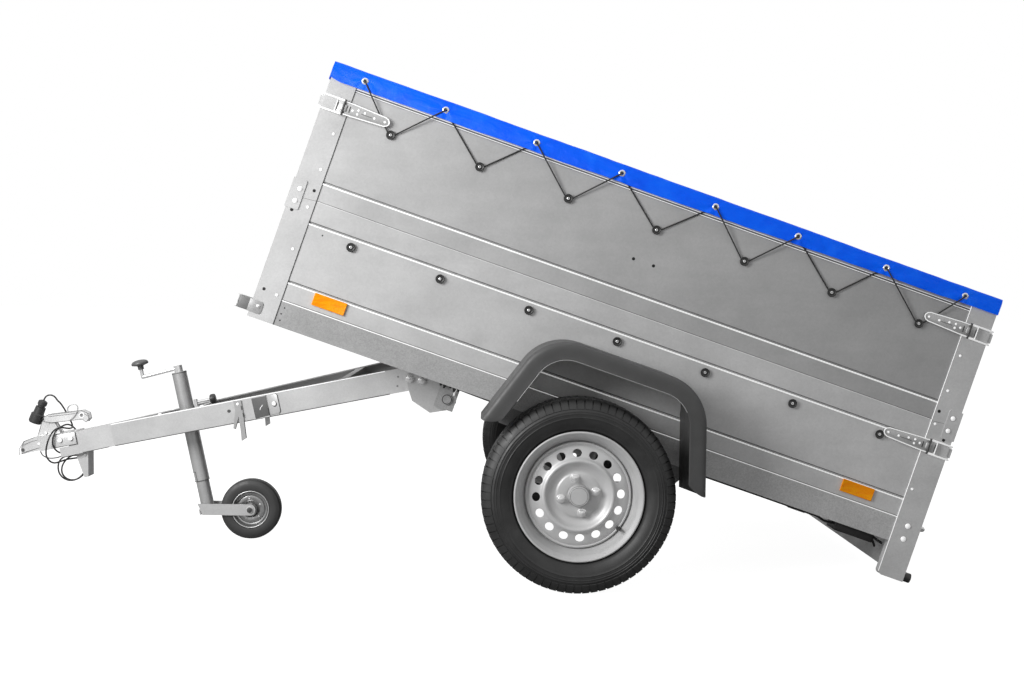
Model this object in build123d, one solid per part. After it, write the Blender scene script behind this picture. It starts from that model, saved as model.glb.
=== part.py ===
from build123d import *
import os
from math import asin, atan2, cos, degrees, hypot, radians, sin, sqrt, tan

# Single-axle utility trailer with a tipped load bed, in millimetres.
# The bed has its own frame: u runs to the rear along the bed, y to the right-hand side,
# v up from the bottom of the side sills, and u = 0 is above the axle.
# The drawbar has its own frame too: its origin is the tip hinge, a runs to the rear
# along the drawbar, and b goes up across it.

# Main wheels, 155/70 R13 on a 4.5 x 13 rim
tyre_radius = 273.5
tyre_width = 155.0
wheel_gap = 30.5
rim_flange_radius = 182.5
rim_width = 136.0
rim_sheet = 4.0
vent_circle_radius = 119.0
vent_radius = 12.0
vent_count = 16
bolt_circle_radius = 50.0
bolt_count = 4
bolt_hole_radius = 6.5
bolt_turn = -10.0
hub_spigot_radius = 29.0
hub_body_radius = 58.0
spindle_radius = 15.0
running_gap = 0.05

# Load bed
bed_length = 2064.0
axle_from_front = 1061.0
bed_width = 1184.0
axle_below_sill = 156.5
sill_height = 74.5
sill_flange = 40.0
sill_edge = 2.2
sheet = 3.0
wall = 25.0
post_width = 78.0
post_depth = 30.0
post_sheet = 2.5
post_foot_radius = 12.0
panel_inset = 2.0
seam_height = 378.0
side_top = 774.0
floor_thickness = 12.0
lamp_board_drop = 102.0
lamp_board_foot = 14.0
lamp_recess = 27.0
lamp_step = -10.0
groove_width = 9.0
groove_depth = 4.0
lower_grooves = (132.4, 313.1)
upper_grooves = (435.0, 714.0)
end_groove = 435.0

# Latches that hold the gates
latch_wire = 2.5
latch_pitch = 41.0
latch_bar_ahead = 7.0
latch_corner = 5.0
latch_bar_inside = 12.0
latch_pin_at = 64.0
latch_base_at = 50.0
latch_lever_start = 42.0
latch_lever_end = 203.0
latch_lever_width = 36.0
latch_tip_width = 26.0
latch_stand = 6.0
latch_lever_depth = 9.0
latch_dish = 6.0
upper_latch_height = 658.0
lower_latch_height = 300.0
catch_sheet = 3.0
catch_lip = 8.0
catch_height = 28.0

# Plates that carry the pivots of the gates
pivot_plate = 3.0
pivot_plate_low = 335.0
pivot_plate_high = 424.0
pivot_plate_width = 41.0
pivot_plate_proud = 4.0

# Gates
gate_gap = 6.0
gate_pivot_height = 394.0
gate_pivot_radius = 6.0
gate_pin_reach = 16.0
gate_pivot_overlap = 10.0
gate_seam = 22.0
catch_root = 26.0
pivot_plate_corner = 6.0
gate_top_gap = 6.0
tailgate_axis_height = 60.0
tailgate_axis_out = 7.5
seat_gap = 0.3
knuckle_radius = 7.0
knuckle_pin_radius = 3.5

# Rubber buffers that carry the tipped bed
buffer_radius = 14.0
buffer_reach = 22.5

# Tip hinge and drawbar
pivot_ahead = 437.0
pivot_below = 51.5
pivot_pin_radius = 8.0
hinge_member_behind = 28.0
member_places = (-120.0, 160.0, 520.0)
arm_top = 120.5
arm_height = 72.5
arm_flange = 40.0
arm_nose_y = 48.0
tongue_length = 64.0
tongue_height = 31.0
arm_tail_y = 427.0
arm_front = -1236.0
arm_bend = -1122.0
arm_tail_bend = -97.0
arm_end = -45.0
member_gap_out = 16.0
member_gap_in = 14.0
plate = 5.0

# Fittings on the arms
bar_places = ((-838.0, -808.0), (-330.0, -300.0))
hook_at = -660.0
hook_height = 108.0
rest_front = -616.0
rest_rear = -563.0
rest_pad_depth = 4.0

# Coupling for a 50 mm ball
ball_radius = 25.0
socket_gap = 0.2
socket_lip = 81.0
socket_middle = 97.0
head_reach = 202.0
head_lap = 56.0
head_front = arm_front - head_reach
head_rear = arm_front + head_lap
socket_from_nose = 32.0
socket_at = head_front + socket_from_nose
nose_length = 68.0
neck_length = 45.0
head_sheet = 4.0
nose_half = 30.0
handle_from_nose = 108.0
handle_pivot = (head_front + handle_from_nose, 168.0)
lever_nose = 10.0
lever_half_width = 17.0

# Support leg
leg_rear = -1216.0
leg_foot = -34.0
leg_half_width = 30.0
leg_lean = 17.0
leg_top_depth = 40.0
leg_foot_depth = 13.0
leg_shoulder = 12.0

# Connector, parked on the front of the coupling lever
plug_foot = (-1378.0, 177.0)
plug_head = (-1329.0, 250.0)
plug_steps = ((0.0, 19.0), (5.0, 22.0), (30.0, 22.0), (34.0, 17.5), (56.0, 16.5), (58.0, 12.0), (62.0, 12.0),
              (64.0, 15.0), (76.0, 15.0), (80.0, 8.0))
plug_peg_at = 25.0
plug_peg_radius = 5.0
plug_peg_reach = 27.0
plug_holder_sheet = 4.0

# Its cable, from inside the drawbar over and round the coupling to the connector
cable_radius = 2.75
cable_route = (
    (-1160, 0, 76), (-1184, 0, 75), (-1204, 0, 68), (-1220, 0, 54), (-1228, -3, 36),
    (-1232, -7, 16), (-1239, -8, -4), (-1252, -10, -22), (-1272, -15, -35), (-1295, -19, -37),
    (-1315, -24, -25), (-1326, -27, -4), (-1325, -27, 18), (-1318, -25, 36), (-1303, -21, 47),
    (-1284, -10, 46), (-1264, -1, 42), (-1248, 6, 33), (-1240, 10, 15), (-1243, 9, -6),
    (-1256, 6, -25), (-1277, -1, -37), (-1300, -7, -36), (-1318, -9, -21), (-1325, -5, 0),
    (-1319, 2, 21), (-1304, 13, 37), (-1287, 21, 43), (-1270, 22, 46), (-1258, 13, 48),
    (-1253, -1, 50), (-1258, -15, 52), (-1270, -24, 55), (-1286, -28, 58), (-1302, -38, 61),
    (-1312, -51, 74), (-1316, -57, 93), (-1312, -58, 112), (-1305, -56, 127), (-1299, -41, 139),
    (-1293, -22, 144), (-1288, -1, 148), (-1282, 21, 149), (-1276, 41, 142), (-1269, 56, 125),
    (-1263, 63, 101), (-1258, 65, 76), (-1257, 61, 53), (-1260, 46, 34), (-1266, 21, 31),
    (-1277, -5, 34), (-1291, -28, 37), (-1307, -46, 35), (-1324, -55, 34), (-1336, -60, 44),
    (-1341, -67, 63), (-1335, -71, 86), (-1324, -73, 109), (-1311, -69, 130), (-1298, -53, 144),
    (-1285, -32, 145), (-1272, -15, 136), (-1263, 4, 133), (-1265, 22, 140), (-1271, 28, 162),
    (-1280, 27, 195), (-1287, 17, 223), (-1290, 4, 232),
)

# Jockey wheel
jockey_radius = 100.0
jockey_width = 50.0
jockey_rim_radius = 62.0
jockey_pin_radius = 6.0
jockey_tube_at = -876.0
jockey_trail = 140.0
jockey_axle_down = 254.5
outer_tube_radius = 24.0
crank_rod = 6.0
crank_reach = 121.0
crank_rise = 34.0
clamp_low = 56.0
clamp_high = 112.0
clamp_wall = 9.0
screw_height = 132.0
screw_radius = 5.0
screw_end = -786.0
screw_grip = 10.0
screw_knob_radius = 12.0
screw_knob_cap = 12.0
outer_tube_wall = 2.5
end_slot_width = 14.0
end_slot_height = 32.0
outer_tube_top = 240.0
outer_tube_end = -127.0
inner_tube_end = -218.0
inner_tube_top = 158.0
fork_gap = 31.0
fork_sheet = 4.0
fork_depth = 37.0
swivel_pin = 12.0

# Lamps and side reflectors
rear_lamp_length = 160.0
rear_lamp_depth = 22.0
rear_lamp_margin = 10.0
rear_lamp_clear = 4.0
front_marker_reach = 46.0
marker_gap = 4.0
marker_depth = 48.0
marker_lap = 36.0
marker_sheet = 2.0
marker_low = 14.0
marker_high = 52.0
reflector_height = 91.0
reflector_length = 98.0
reflector_rise = 37.0
reflector_depth = 7.0
reflector_front_margin = 86.0
reflector_rear_margin = 189.0

# Tarpaulin
tarp_sheet = 2.0
tarp_gap = 1.0
tarp_skirt = 72.0
button_front_margin = 139.0
button_rear_margin = 133.4
button_count = 7
button_rows = (285.0, 629.0)
button_radius = 12.0
button_depth = 9.0

# Worked out from the sizes above
bed_front = -axle_from_front
bed_rear = bed_length - axle_from_front
half_bed = bed_width / 2
half_panel = half_bed - panel_inset
post_inner = half_bed - post_depth
panel_front = bed_front + post_width
panel_rear = bed_rear - post_width
floor_top = sill_height + floor_thickness
button_first = panel_front + button_front_margin
button_pitch = (panel_rear - button_rear_margin - button_first) / (button_count - 1)
buffer_end = bed_rear + buffer_reach
buffer_low = lamp_board_drop - 1.0
half_track = half_bed + wheel_gap + tyre_width / 2

# The bed turns on its axle until the buffers touch the ground.
buffer_arm = hypot(buffer_end, axle_below_sill - buffer_low)
buffer_slope = atan2(axle_below_sill - buffer_low, buffer_end)
bed_tilt = degrees(asin(tyre_radius / buffer_arm) + buffer_slope)
bed_place = Location((0, 0, tyre_radius), (0, bed_tilt, 0)) * Location((0, 0, axle_below_sill))

# The drawbar turns on the tip hinge until the jockey wheel touches the ground.
pivot_point = (bed_place * Location((-pivot_ahead, 0, -pivot_below))).position
jockey_axle_at = jockey_tube_at + jockey_trail
jockey_reach = hypot(jockey_axle_at, jockey_axle_down)
jockey_slope = atan2(jockey_axle_down, -jockey_axle_at)
bar_tilt = degrees(asin((pivot_point.Z - jockey_radius) / jockey_reach) - jockey_slope)
bar_place = Location(tuple(pivot_point), (0, -bar_tilt, 0))
wheel_place = Location((0, 0, tyre_radius))


def block(low, high):
    """Box from its lowest to its highest corner."""
    size = [high[i] - low[i] for i in range(3)]
    middle = [(high[i] + low[i]) / 2 for i in range(3)]
    return Pos(*middle) * Box(*size)


def side_plate(points, y_low, y_high, rounding=0):
    """Plate cut to an outline of (x, z) points, from y_low to y_high."""
    outline = make_face(Polyline(*points, close=True))
    if rounding:
        outline = fillet(outline.vertices(), rounding)
    return extrude(Plane.XZ.offset(-y_high) * outline, y_high - y_low)


def plan_plate(points, z_low, z_high):
    """Plate cut to an outline of (x, y) points, from z_low to z_high."""
    outline = make_face(Polyline(*points, close=True))
    return extrude(Plane.XY.offset(z_low) * outline, z_high - z_low)


def rod(start, end, radius, bore=0):
    """Round bar or tube between two points."""
    line = Vector(*end) - Vector(*start)
    section = Circle(radius)
    if bore:
        section -= Circle(bore)
    return extrude(Plane(origin=start, z_dir=line) * section, line.length)


def lathe(points, axis=Axis.Y):
    """Ring or disc turned about the Y axis from (radius, y) points."""
    return revolve(make_face(Polyline(*[(r, y, 0) for r, y in points], close=True)), axis)


def other_side(shape):
    return mirror(shape, about=Plane.XZ)


def both_sides(*shapes):
    return [*shapes, *[other_side(shape) for shape in shapes]]


def panel(u_low, u_high, v_low, v_high, grooves):
    """Folded side panel with pressed grooves, outer face at half_panel."""
    board = block((u_low, half_panel - wall, v_low), (u_high, half_panel, v_high))
    half = groove_width / 2
    for v in grooves:
        shape = [(half_panel - groove_depth, v), (half_panel + 1, v + half), (half_panel + 1, v - half)]
        face = make_face(Polyline(*[(u_low, y, z) for y, z in shape], close=True))
        board -= extrude(face, u_high - u_low, dir=(1, 0, 0))
    return board


def end_face_groove(face_u, outward, y_half, v):
    """Cutter for a pressed groove across a front or rear wall."""
    half = groove_width / 2
    lip = face_u + outward
    return side_plate([(face_u - outward * groove_depth, v), (lip, v + half), (lip, v - half)], -y_half, y_half)


def post(u_low, v_low, round_foot):
    """Corner post, a folded box section that is open at its foot."""
    outside = block((u_low, post_inner, v_low), (u_low + post_width, half_bed, side_top))
    if round_foot:
        foot = outside.edges().filter_by(Axis.Y).group_by(Axis.Z)[0].sort_by(Axis.X)[0]
        outside = fillet(foot, post_foot_radius)
    inside = block(
        (u_low + post_sheet, post_inner + post_sheet, v_low - 1),
        (u_low + post_width - post_sheet, half_bed - post_sheet, side_top - post_sheet),
    )
    return outside - inside


def channel(low, high, open_side):
    """Folded C section along y or x, open towards one side."""
    solid = block(low, high)
    cut_low = [low[0] + sheet, low[1] + sheet, low[2] + sheet]
    cut_high = [high[0] - sheet, high[1] - sheet, high[2] - sheet]
    along = 1 if high[1] - low[1] > high[0] - low[0] else 0
    cut_low[along] = low[along] - 1
    cut_high[along] = high[along] + 1
    across = 1 - along
    if open_side > 0:
        cut_high[across] = high[across] + 1
    else:
        cut_low[across] = low[across] - 1
    return solid - block(cut_low, cut_high)


def side_sills():
    low = (panel_front, half_panel - sill_flange, 0)
    high = (panel_rear, half_panel, sill_height)
    sill = channel(low, high, -1)
    upper_edge = sill.edges().filter_by(Axis.X).group_by(Axis.Z)[-1].sort_by(Axis.Y)[-1]
    return both_sides(chamfer(upper_edge, sill_edge))


hinge_member_at = -pivot_ahead + hinge_member_behind
arm_slope = (arm_tail_y - arm_nose_y) / (arm_tail_bend - arm_bend)
arm_lean = degrees(atan2(arm_tail_y - arm_nose_y, arm_tail_bend - arm_bend))


def arm_y(a):
    """Outer face of a drawbar arm, where it runs at an angle."""
    return arm_nose_y + (a - arm_bend) * arm_slope


notch_out = arm_y(bed_front + pivot_ahead + sill_flange) + member_gap_out
notch_in = arm_y(bed_front + pivot_ahead) - arm_flange - member_gap_in


def cross_members():
    inner = half_panel - sill_flange
    members = []
    for at in (hinge_member_at, *member_places):
        members.append(channel((at, -inner, 0), (at + sill_flange, inner, sill_height), 1))
    front_low = (bed_front, -notch_in, 0)
    front_high = (bed_front + sill_flange, notch_in, sill_height)
    members.append(channel(front_low, front_high, 1))
    corner_low = (bed_front, notch_out, 0)
    corner_high = (bed_front + sill_flange, post_inner, sill_height)
    members += both_sides(channel(corner_low, corner_high, 1))
    low = (panel_rear - sill_flange, -inner, 0)
    high = (panel_rear, inner, sill_height)
    members.append(channel(low, high, -1))
    return members


def load_floor():
    return [
        block(
            (bed_front + wall, -post_inner, sill_height),
            (bed_rear - wall - gate_gap, post_inner, floor_top),
        )
    ]


def lower_sides():
    return both_sides(panel(panel_front, panel_rear, sill_height, seam_height, lower_grooves))


def upper_sides():
    return both_sides(panel(panel_front, panel_rear, seam_height, side_top, upper_grooves))


def corner_posts():
    posts = []
    for u_low, v_low in ((bed_front, 0.0), (panel_rear, -lamp_board_drop)):
        is_rear = u_low > 0
        pin_at = bed_rear - wall / 2 if is_rear else bed_front + wall / 2
        pin_start = (pin_at, half_bed - post_sheet, gate_pivot_height)
        pin_end = (pin_at, post_inner - gate_gap - gate_pin_reach, gate_pivot_height)
        plate_low = bed_rear + pivot_plate_proud - pivot_plate_width if is_rear else bed_front - pivot_plate_proud
        pivot = block((plate_low, half_bed, pivot_plate_low),
                      (plate_low + pivot_plate_width, half_bed + pivot_plate, pivot_plate_high))
        inner = pivot.edges().filter_by(Axis.Y).sort_by(Axis.X)
        pivot = fillet(inner[:2] if is_rear else inner[2:], pivot_plate_corner)
        posts.append(post(u_low, v_low, is_rear) + rod(pin_start, pin_end, gate_pivot_radius) + pivot)
    return both_sides(*posts)


def front_wall():
    top = gate_pivot_height - gate_seam
    wall_plate = block((bed_front, -post_inner, sill_height), (bed_front + wall, post_inner, top))
    for v in lower_grooves:
        wall_plate -= end_face_groove(bed_front, -1, post_inner, v)
    return [wall_plate]


def catch(v, end_u, outward):
    """Hook on a gate, in front of its corner post, that a latch's loop pulls on."""
    root = post_inner - gate_gap
    face = end_u + outward * catch_sheet
    low = v - catch_height / 2
    high = v + catch_height / 2
    tip = half_bed - catch_sheet
    hook = spread((end_u, root - catch_root, low), (face, root, high))
    hook += spread((end_u + outward * seat_gap, root - 1, low), (face, tip, high))
    hook += spread((face, tip - catch_sheet, low), (face + outward * catch_lip, tip, high))
    return hook


def spread(corner, other):
    """Box between any two opposite corners."""
    low = [min(corner[i], other[i]) for i in range(3)]
    high = [max(corner[i], other[i]) for i in range(3)]
    return block(low, high)


def upper_gate(end_u, outward):
    half = post_inner - gate_gap
    top = side_top - gate_top_gap
    gate = spread((end_u - outward * wall, -half, gate_pivot_height - gate_pivot_overlap), (end_u, half, top))
    gate -= end_face_groove(end_u, outward, half, end_groove)
    pin_at = end_u - outward * wall / 2
    hook = catch(upper_latch_height, end_u, outward)
    gate += [hook, other_side(hook)]
    for side in (-1, 1):
        start = (pin_at, side * (half + 1), gate_pivot_height)
        end = (pin_at, side * (half - gate_pin_reach - 2), gate_pivot_height)
        gate -= rod(start, end, gate_pivot_radius + running_gap)
    return gate


tailgate_axis_u = bed_rear + tailgate_axis_out
knuckle_places = (-420.0, 0.0, 420.0)
knuckle_half = 30.0


def tailgate():
    half = post_inner - gate_gap
    low = (bed_rear - wall, -half, sill_height + gate_gap)
    gate = block(low, (bed_rear, half, gate_pivot_height - gate_seam - 2))
    for v in lower_grooves:
        gate -= end_face_groove(bed_rear, 1, half, v)
    hook = catch(lower_latch_height, bed_rear, 1)
    gate += [hook, other_side(hook)]
    reach = knuckle_half - seat_gap
    for y in knuckle_places:
        start = (tailgate_axis_u, y - reach, tailgate_axis_height)
        end = (tailgate_axis_u, y + reach, tailgate_axis_height)
        gate += block((bed_rear, y - reach, tailgate_axis_height + 4),
                      (bed_rear + sheet, y + reach, tailgate_axis_height + 60))
        gate += rod(start, end, knuckle_radius)
        gate -= rod(start, end, knuckle_pin_radius + running_gap)
    return [gate]


def lamp_board():
    face = bed_rear - seat_gap
    foot = -lamp_board_drop + lamp_board_foot
    back = face - lamp_recess
    board = block((face - sheet, -post_inner, lamp_step), (face, post_inner, sill_height))
    board += block((back, -post_inner, lamp_step), (face, post_inner, lamp_step + sheet))
    board += block((back, -post_inner, foot), (back + sheet, post_inner, lamp_step + sheet))
    board += block((back, -post_inner, foot), (face, post_inner, foot + sheet))
    board += block((panel_rear, -post_inner, sill_height - sheet), (face, post_inner, sill_height))
    for y in knuckle_places:
        for low, high in ((y - knuckle_half - 20, y - knuckle_half), (y + knuckle_half, y + knuckle_half + 20)):
            board += rod((tailgate_axis_u, low, tailgate_axis_height),
                         (tailgate_axis_u, high, tailgate_axis_height), knuckle_radius)
            board += block((face - sheet, low, tailgate_axis_height - knuckle_radius),
                           (tailgate_axis_u, high, tailgate_axis_height))
        board += rod((tailgate_axis_u, y - knuckle_half - 20, tailgate_axis_height),
                     (tailgate_axis_u, y + knuckle_half + 20, tailgate_axis_height), knuckle_pin_radius)
    return [board]


def rear_lamp():
    plate_face = bed_rear - seat_gap - lamp_recess + sheet
    outer = post_inner - rear_lamp_margin
    foot = -lamp_board_drop + lamp_board_foot + sheet
    low = (plate_face + seat_gap, outer - rear_lamp_length, foot + rear_lamp_clear)
    high = (plate_face + rear_lamp_depth, outer, lamp_step - rear_lamp_clear)
    return block(low, high)


def front_marker():
    """Marker lamp on a bracket that laps the side of a front post."""
    low = (bed_front - front_marker_reach, half_bed - marker_depth, marker_low)
    high = (bed_front - marker_gap, half_bed + marker_sheet, marker_high)
    bracket = block((bed_front - marker_gap - 1, half_bed, marker_low),
                    (bed_front + marker_lap, half_bed + marker_sheet, marker_high))
    return block(low, high) + bracket


def side_reflector(u):
    low = (u, half_panel, reflector_height)
    high = (u + reflector_length, half_panel + reflector_depth, reflector_height + reflector_rise)
    return block(low, high)


def lamps():
    ahead = panel_front + reflector_front_margin
    behind = panel_rear - reflector_rear_margin
    return both_sides(rear_lamp(), front_marker(), side_reflector(ahead), side_reflector(behind))


def latch(v, end_u, inward):
    """Over-centre latch on a side: a base, a dished lever and a wire loop round the post's edge."""
    half = latch_pitch / 2
    side = half_bed + latch_stand
    lever_mid = side + latch_lever_depth / 2
    wide = latch_lever_width / 2
    tip = latch_tip_width / 2
    outline = [(latch_lever_start, -wide), (latch_pin_at + 30, -wide), (latch_lever_end, -tip),
               (latch_lever_end, tip), (latch_pin_at + 30, wide), (latch_lever_start, wide)]
    lever = side_plate(outline, side, side + latch_lever_depth)
    ends = lever.edges().filter_by(Axis.Y).sort_by(Axis.X)[-2:]
    lever = fillet(ends, tip - 1)
    dish_start = latch_pin_at + 24
    dish_wide = wide - 4
    dish_tip = tip - 4
    dish = side_plate([(dish_start, -dish_wide), (latch_lever_end - 14, -dish_tip),
                       (latch_lever_end - 14, dish_tip), (dish_start, dish_wide)],
                      side + latch_lever_depth - latch_dish, side + latch_lever_depth + 1)
    lever -= dish
    lever += block((latch_base_at, half_bed, -wide + 2), (post_width - 1, side, wide - 2))
    bar_y = half_bed - latch_bar_inside
    corner_y = half_bed + latch_wire + 2
    route = [(latch_pin_at, lever_mid, -half), (-latch_corner, corner_y, -half), (-latch_bar_ahead, bar_y, -half),
             (-latch_bar_ahead, bar_y, half), (-latch_corner, corner_y, half), (latch_pin_at, lever_mid, half)]
    wire = FilletPolyline(*route, radius=latch_wire + 1.5)
    start = Plane(origin=wire @ 0, z_dir=wire % 0)
    loop = sweep(start * Circle(latch_wire), wire)
    pin_end = half + latch_wire + 1
    loop += rod((latch_pin_at, lever_mid, -pin_end), (latch_pin_at, lever_mid, pin_end), latch_wire + 1)
    lever += loop
    if inward < 0:
        lever = mirror(lever, about=Plane.YZ)
    return Pos(end_u, 0, v) * lever


def latches():
    return both_sides(
        latch(upper_latch_height, bed_front, 1),
        latch(upper_latch_height, bed_rear, -1),
        latch(lower_latch_height, bed_rear, -1),
    )


def rear_buffers():
    centre = -buffer_low + buffer_radius
    y = half_bed - 18
    return both_sides(rod((bed_rear, y, centre), (buffer_end, y, centre), buffer_radius))


# Mudguard over a wheel, symmetrical about the axle
guard_top = 246.0
guard_foot_u = 331.0
guard_foot_v = -40.0
guard_shoulder_u = 235.0
guard_bend = 145.0
guard_sheet = 4.0
guard_lip = 38.0
guard_side_gap = 12.5
guard_outer = half_track + tyre_width / 2 + guard_side_gap


def guard_outline(inset):
    """Arch outline moved inwards by an inset, open at the foot."""
    lean = atan2(guard_foot_u - guard_shoulder_u, guard_top - guard_foot_v)
    foot = guard_foot_u - inset / cos(lean)
    shoulder = guard_shoulder_u - inset * tan((radians(90) - lean) / 2)
    top = guard_top - inset
    points = [(-foot, guard_foot_v), (-shoulder, top), (shoulder, top), (foot, guard_foot_v)]
    return FilletPolyline(*points, radius=guard_bend - inset)


def guard_band(inset, depth, y_low, y_high):
    outer = guard_outline(inset)
    inner = guard_outline(inset + depth)
    ends = [Line(outer @ 0, inner @ 0), Line(outer @ 1, inner @ 1)]
    face = make_face([outer, inner, *ends])
    return extrude(Plane.XZ.offset(-y_high) * face, y_high - y_low)


def mudguards():
    band = guard_band(0, guard_sheet, half_panel, guard_outer)
    lip = guard_band(0, guard_lip, guard_outer - guard_sheet, guard_outer)
    return both_sides(band + lip)


# Axle and springs
axle_side = 40.0
spring_inset = 30.0
spring_y = half_bed - spring_inset
spring_width = 45.0
leaf = 7.0
spring_half = 258.0
spring_eye_v = -38.0
spring_mid_v = -axle_below_sill + axle_side / 2


def spring_leaf(half_length, low):
    """One leaf as a shallow arc that bows down onto the axle."""
    rise = spring_eye_v - spring_mid_v - leaf
    radius = (spring_half ** 2 + rise ** 2) / (2 * rise)
    drop = radius - sqrt(radius ** 2 - half_length ** 2)
    bottom = ThreePointArc((-half_length, low + drop), (0, low), (half_length, low + drop))
    top = ThreePointArc((-half_length, low + leaf + drop), (0, low + leaf), (half_length, low + leaf + drop))
    face = make_face([bottom, top, Line(bottom @ 0, top @ 0), Line(bottom @ 1, top @ 1)])
    y_high = spring_y + spring_width / 2
    return extrude(Plane.XZ.offset(-y_high) * face, spring_width)


def leaf_springs():
    spring = spring_leaf(spring_half, spring_mid_v + leaf) + spring_leaf(170, spring_mid_v)
    for u in (-spring_half, spring_half):
        spring += rod((u, spring_y - spring_width / 2, spring_eye_v),
                      (u, spring_y + spring_width / 2, spring_eye_v), 14)
        spring += block((u - 45, spring_y - spring_width / 2 - 5, -sheet),
                        (u + 45, spring_y + spring_width / 2 + 5, 0))
        bracket = [(u - 45, 0), (u + 45, 0), (u + 14, -52), (u - 14, -52)]
        for y in (spring_y - spring_width / 2 - 5, spring_y + spring_width / 2):
            spring += side_plate(bracket, y, y + 5)
    return both_sides(spring)


def axle_beam():
    low = -axle_below_sill - axle_side / 2
    beam = block((-axle_side / 2, -half_track + 94, low), (axle_side / 2, half_track - 94, low + axle_side))
    for side in (-1, 1):
        start = (0, side * (half_track - 95), -axle_below_sill)
        beam += rod(start, (0, side * (half_track - 20), -axle_below_sill), spindle_radius)
    return [beam]


def bed_hinge_brackets():
    u_low = -pivot_ahead - 32
    bracket = block((u_low, arm_tail_y + 10, -pivot_below - 31), (hinge_member_at, arm_tail_y + 15, sill_height))
    centre = (-pivot_ahead, 0, -pivot_below)
    outer = (-pivot_ahead, arm_tail_y + 21, -pivot_below)
    bracket += rod((-pivot_ahead, arm_tail_y + 15, -pivot_below), outer, 16)
    bracket += rod((-pivot_ahead, arm_tail_y - 8, -pivot_below), outer, pivot_pin_radius)
    bracket += rod((-pivot_ahead, arm_tail_y + plate + 0.3, -pivot_below),
                   (-pivot_ahead, arm_tail_y + 12, -pivot_below), 14)
    bracket += rod((-pivot_ahead, arm_tail_y - 10, -pivot_below),
                   (-pivot_ahead, arm_tail_y - 0.3, -pivot_below), 13)
    return both_sides(bracket)


def tarp_top():
    low = (bed_front - tarp_gap - tarp_sheet, -half_bed - 0.5 - tarp_sheet, side_top + tarp_gap)
    high = (bed_rear + tarp_gap + tarp_sheet, half_bed + 0.5 + tarp_sheet, side_top + tarp_gap + tarp_sheet)
    return [block(low, high)]


def tarp_side_skirts():
    top = side_top + tarp_gap
    low = (bed_front - tarp_gap - tarp_sheet, half_bed + 0.5, top - tarp_skirt)
    high = (bed_rear + tarp_gap + tarp_sheet, half_bed + 0.5 + tarp_sheet, top)
    return both_sides(block(low, high))


def tarp_end_skirt(u_low):
    top = side_top + tarp_gap
    return [block((u_low, -half_bed - 0.5, top - tarp_skirt), (u_low + tarp_sheet, half_bed + 0.5, top))]


def tarp_buttons():
    buttons = []
    for v in button_rows:
        for k in range(button_count):
            u = button_first + k * button_pitch
            buttons.append(rod((u, half_panel, v), (u, half_panel + button_depth, v), button_radius))
    return both_sides(*buttons)


def arm_outline(inset, front):
    """Plan line of an arm, moved inwards by an inset."""
    lean = radians(arm_lean)
    shift = inset * tan(lean / 2)
    return [
        (front, arm_nose_y - inset),
        (arm_bend + shift, arm_nose_y - inset),
        (arm_tail_bend + shift, arm_tail_y - inset),
        (arm_end, arm_tail_y - inset),
    ]


def arm_side(a):
    """Place on the outer face of an arm, with x along it and y out of it."""
    return Location((a, arm_y(a), 0)) * Location((0, 0, 0), (0, 0, arm_lean))


def rest_pad():
    """Pad that the bed lies against when it is down."""
    stretch = (rest_rear - rest_front) / cos(radians(arm_lean))
    pad = block((0, -1, arm_top - arm_height + 1), (stretch, rest_pad_depth, arm_top - 1))
    return arm_side(rest_front) * pad


def drawbar_arm():
    bottom = arm_top - arm_height
    web = arm_outline(0, arm_front) + arm_outline(sheet, arm_front)[::-1]
    flange = arm_outline(0, arm_front) + arm_outline(arm_flange, arm_front)[::-1]
    arm = plan_plate(web, bottom, arm_top)
    arm += plan_plate(flange, bottom, bottom + sheet)
    arm += plan_plate(flange, arm_top - sheet, arm_top)
    tongue = block((arm_front - tongue_length, arm_nose_y - sheet, bottom),
                   (arm_front, arm_nose_y, bottom + tongue_height))
    arm += tongue
    hinge_plate = [(-107, bottom), (-104, 17), (-59, -30), (-10, -33), (24, -18), (32, 10), (20, 60),
                   (-20, 96), (-107, 96)]
    ear = side_plate(hinge_plate, arm_tail_y, arm_tail_y + plate)
    arm += ear
    arm -= rod((0, arm_tail_y - 5, 0), (0, arm_tail_y + plate + 5, 0), pivot_pin_radius + running_gap)
    return arm + rest_pad()


def drawbar_arms():
    return both_sides(drawbar_arm())


def cross_bar(a_low, a_high, b_low, b_high):
    """Bar that fills the space between the webs of both arms."""
    inset = sheet / cos(radians(arm_lean))
    ends = [(a_low, arm_y(a_low) - inset), (a_high, arm_y(a_high) - inset)]
    points = ends + [(a, -y) for a, y in ends[::-1]]
    return plan_plate(points, b_low, b_high)


def drawbar_cross_bars():
    low = arm_top - arm_height + sheet
    high = arm_top - sheet
    return [cross_bar(front, rear, low, high) for front, rear in bar_places]


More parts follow.
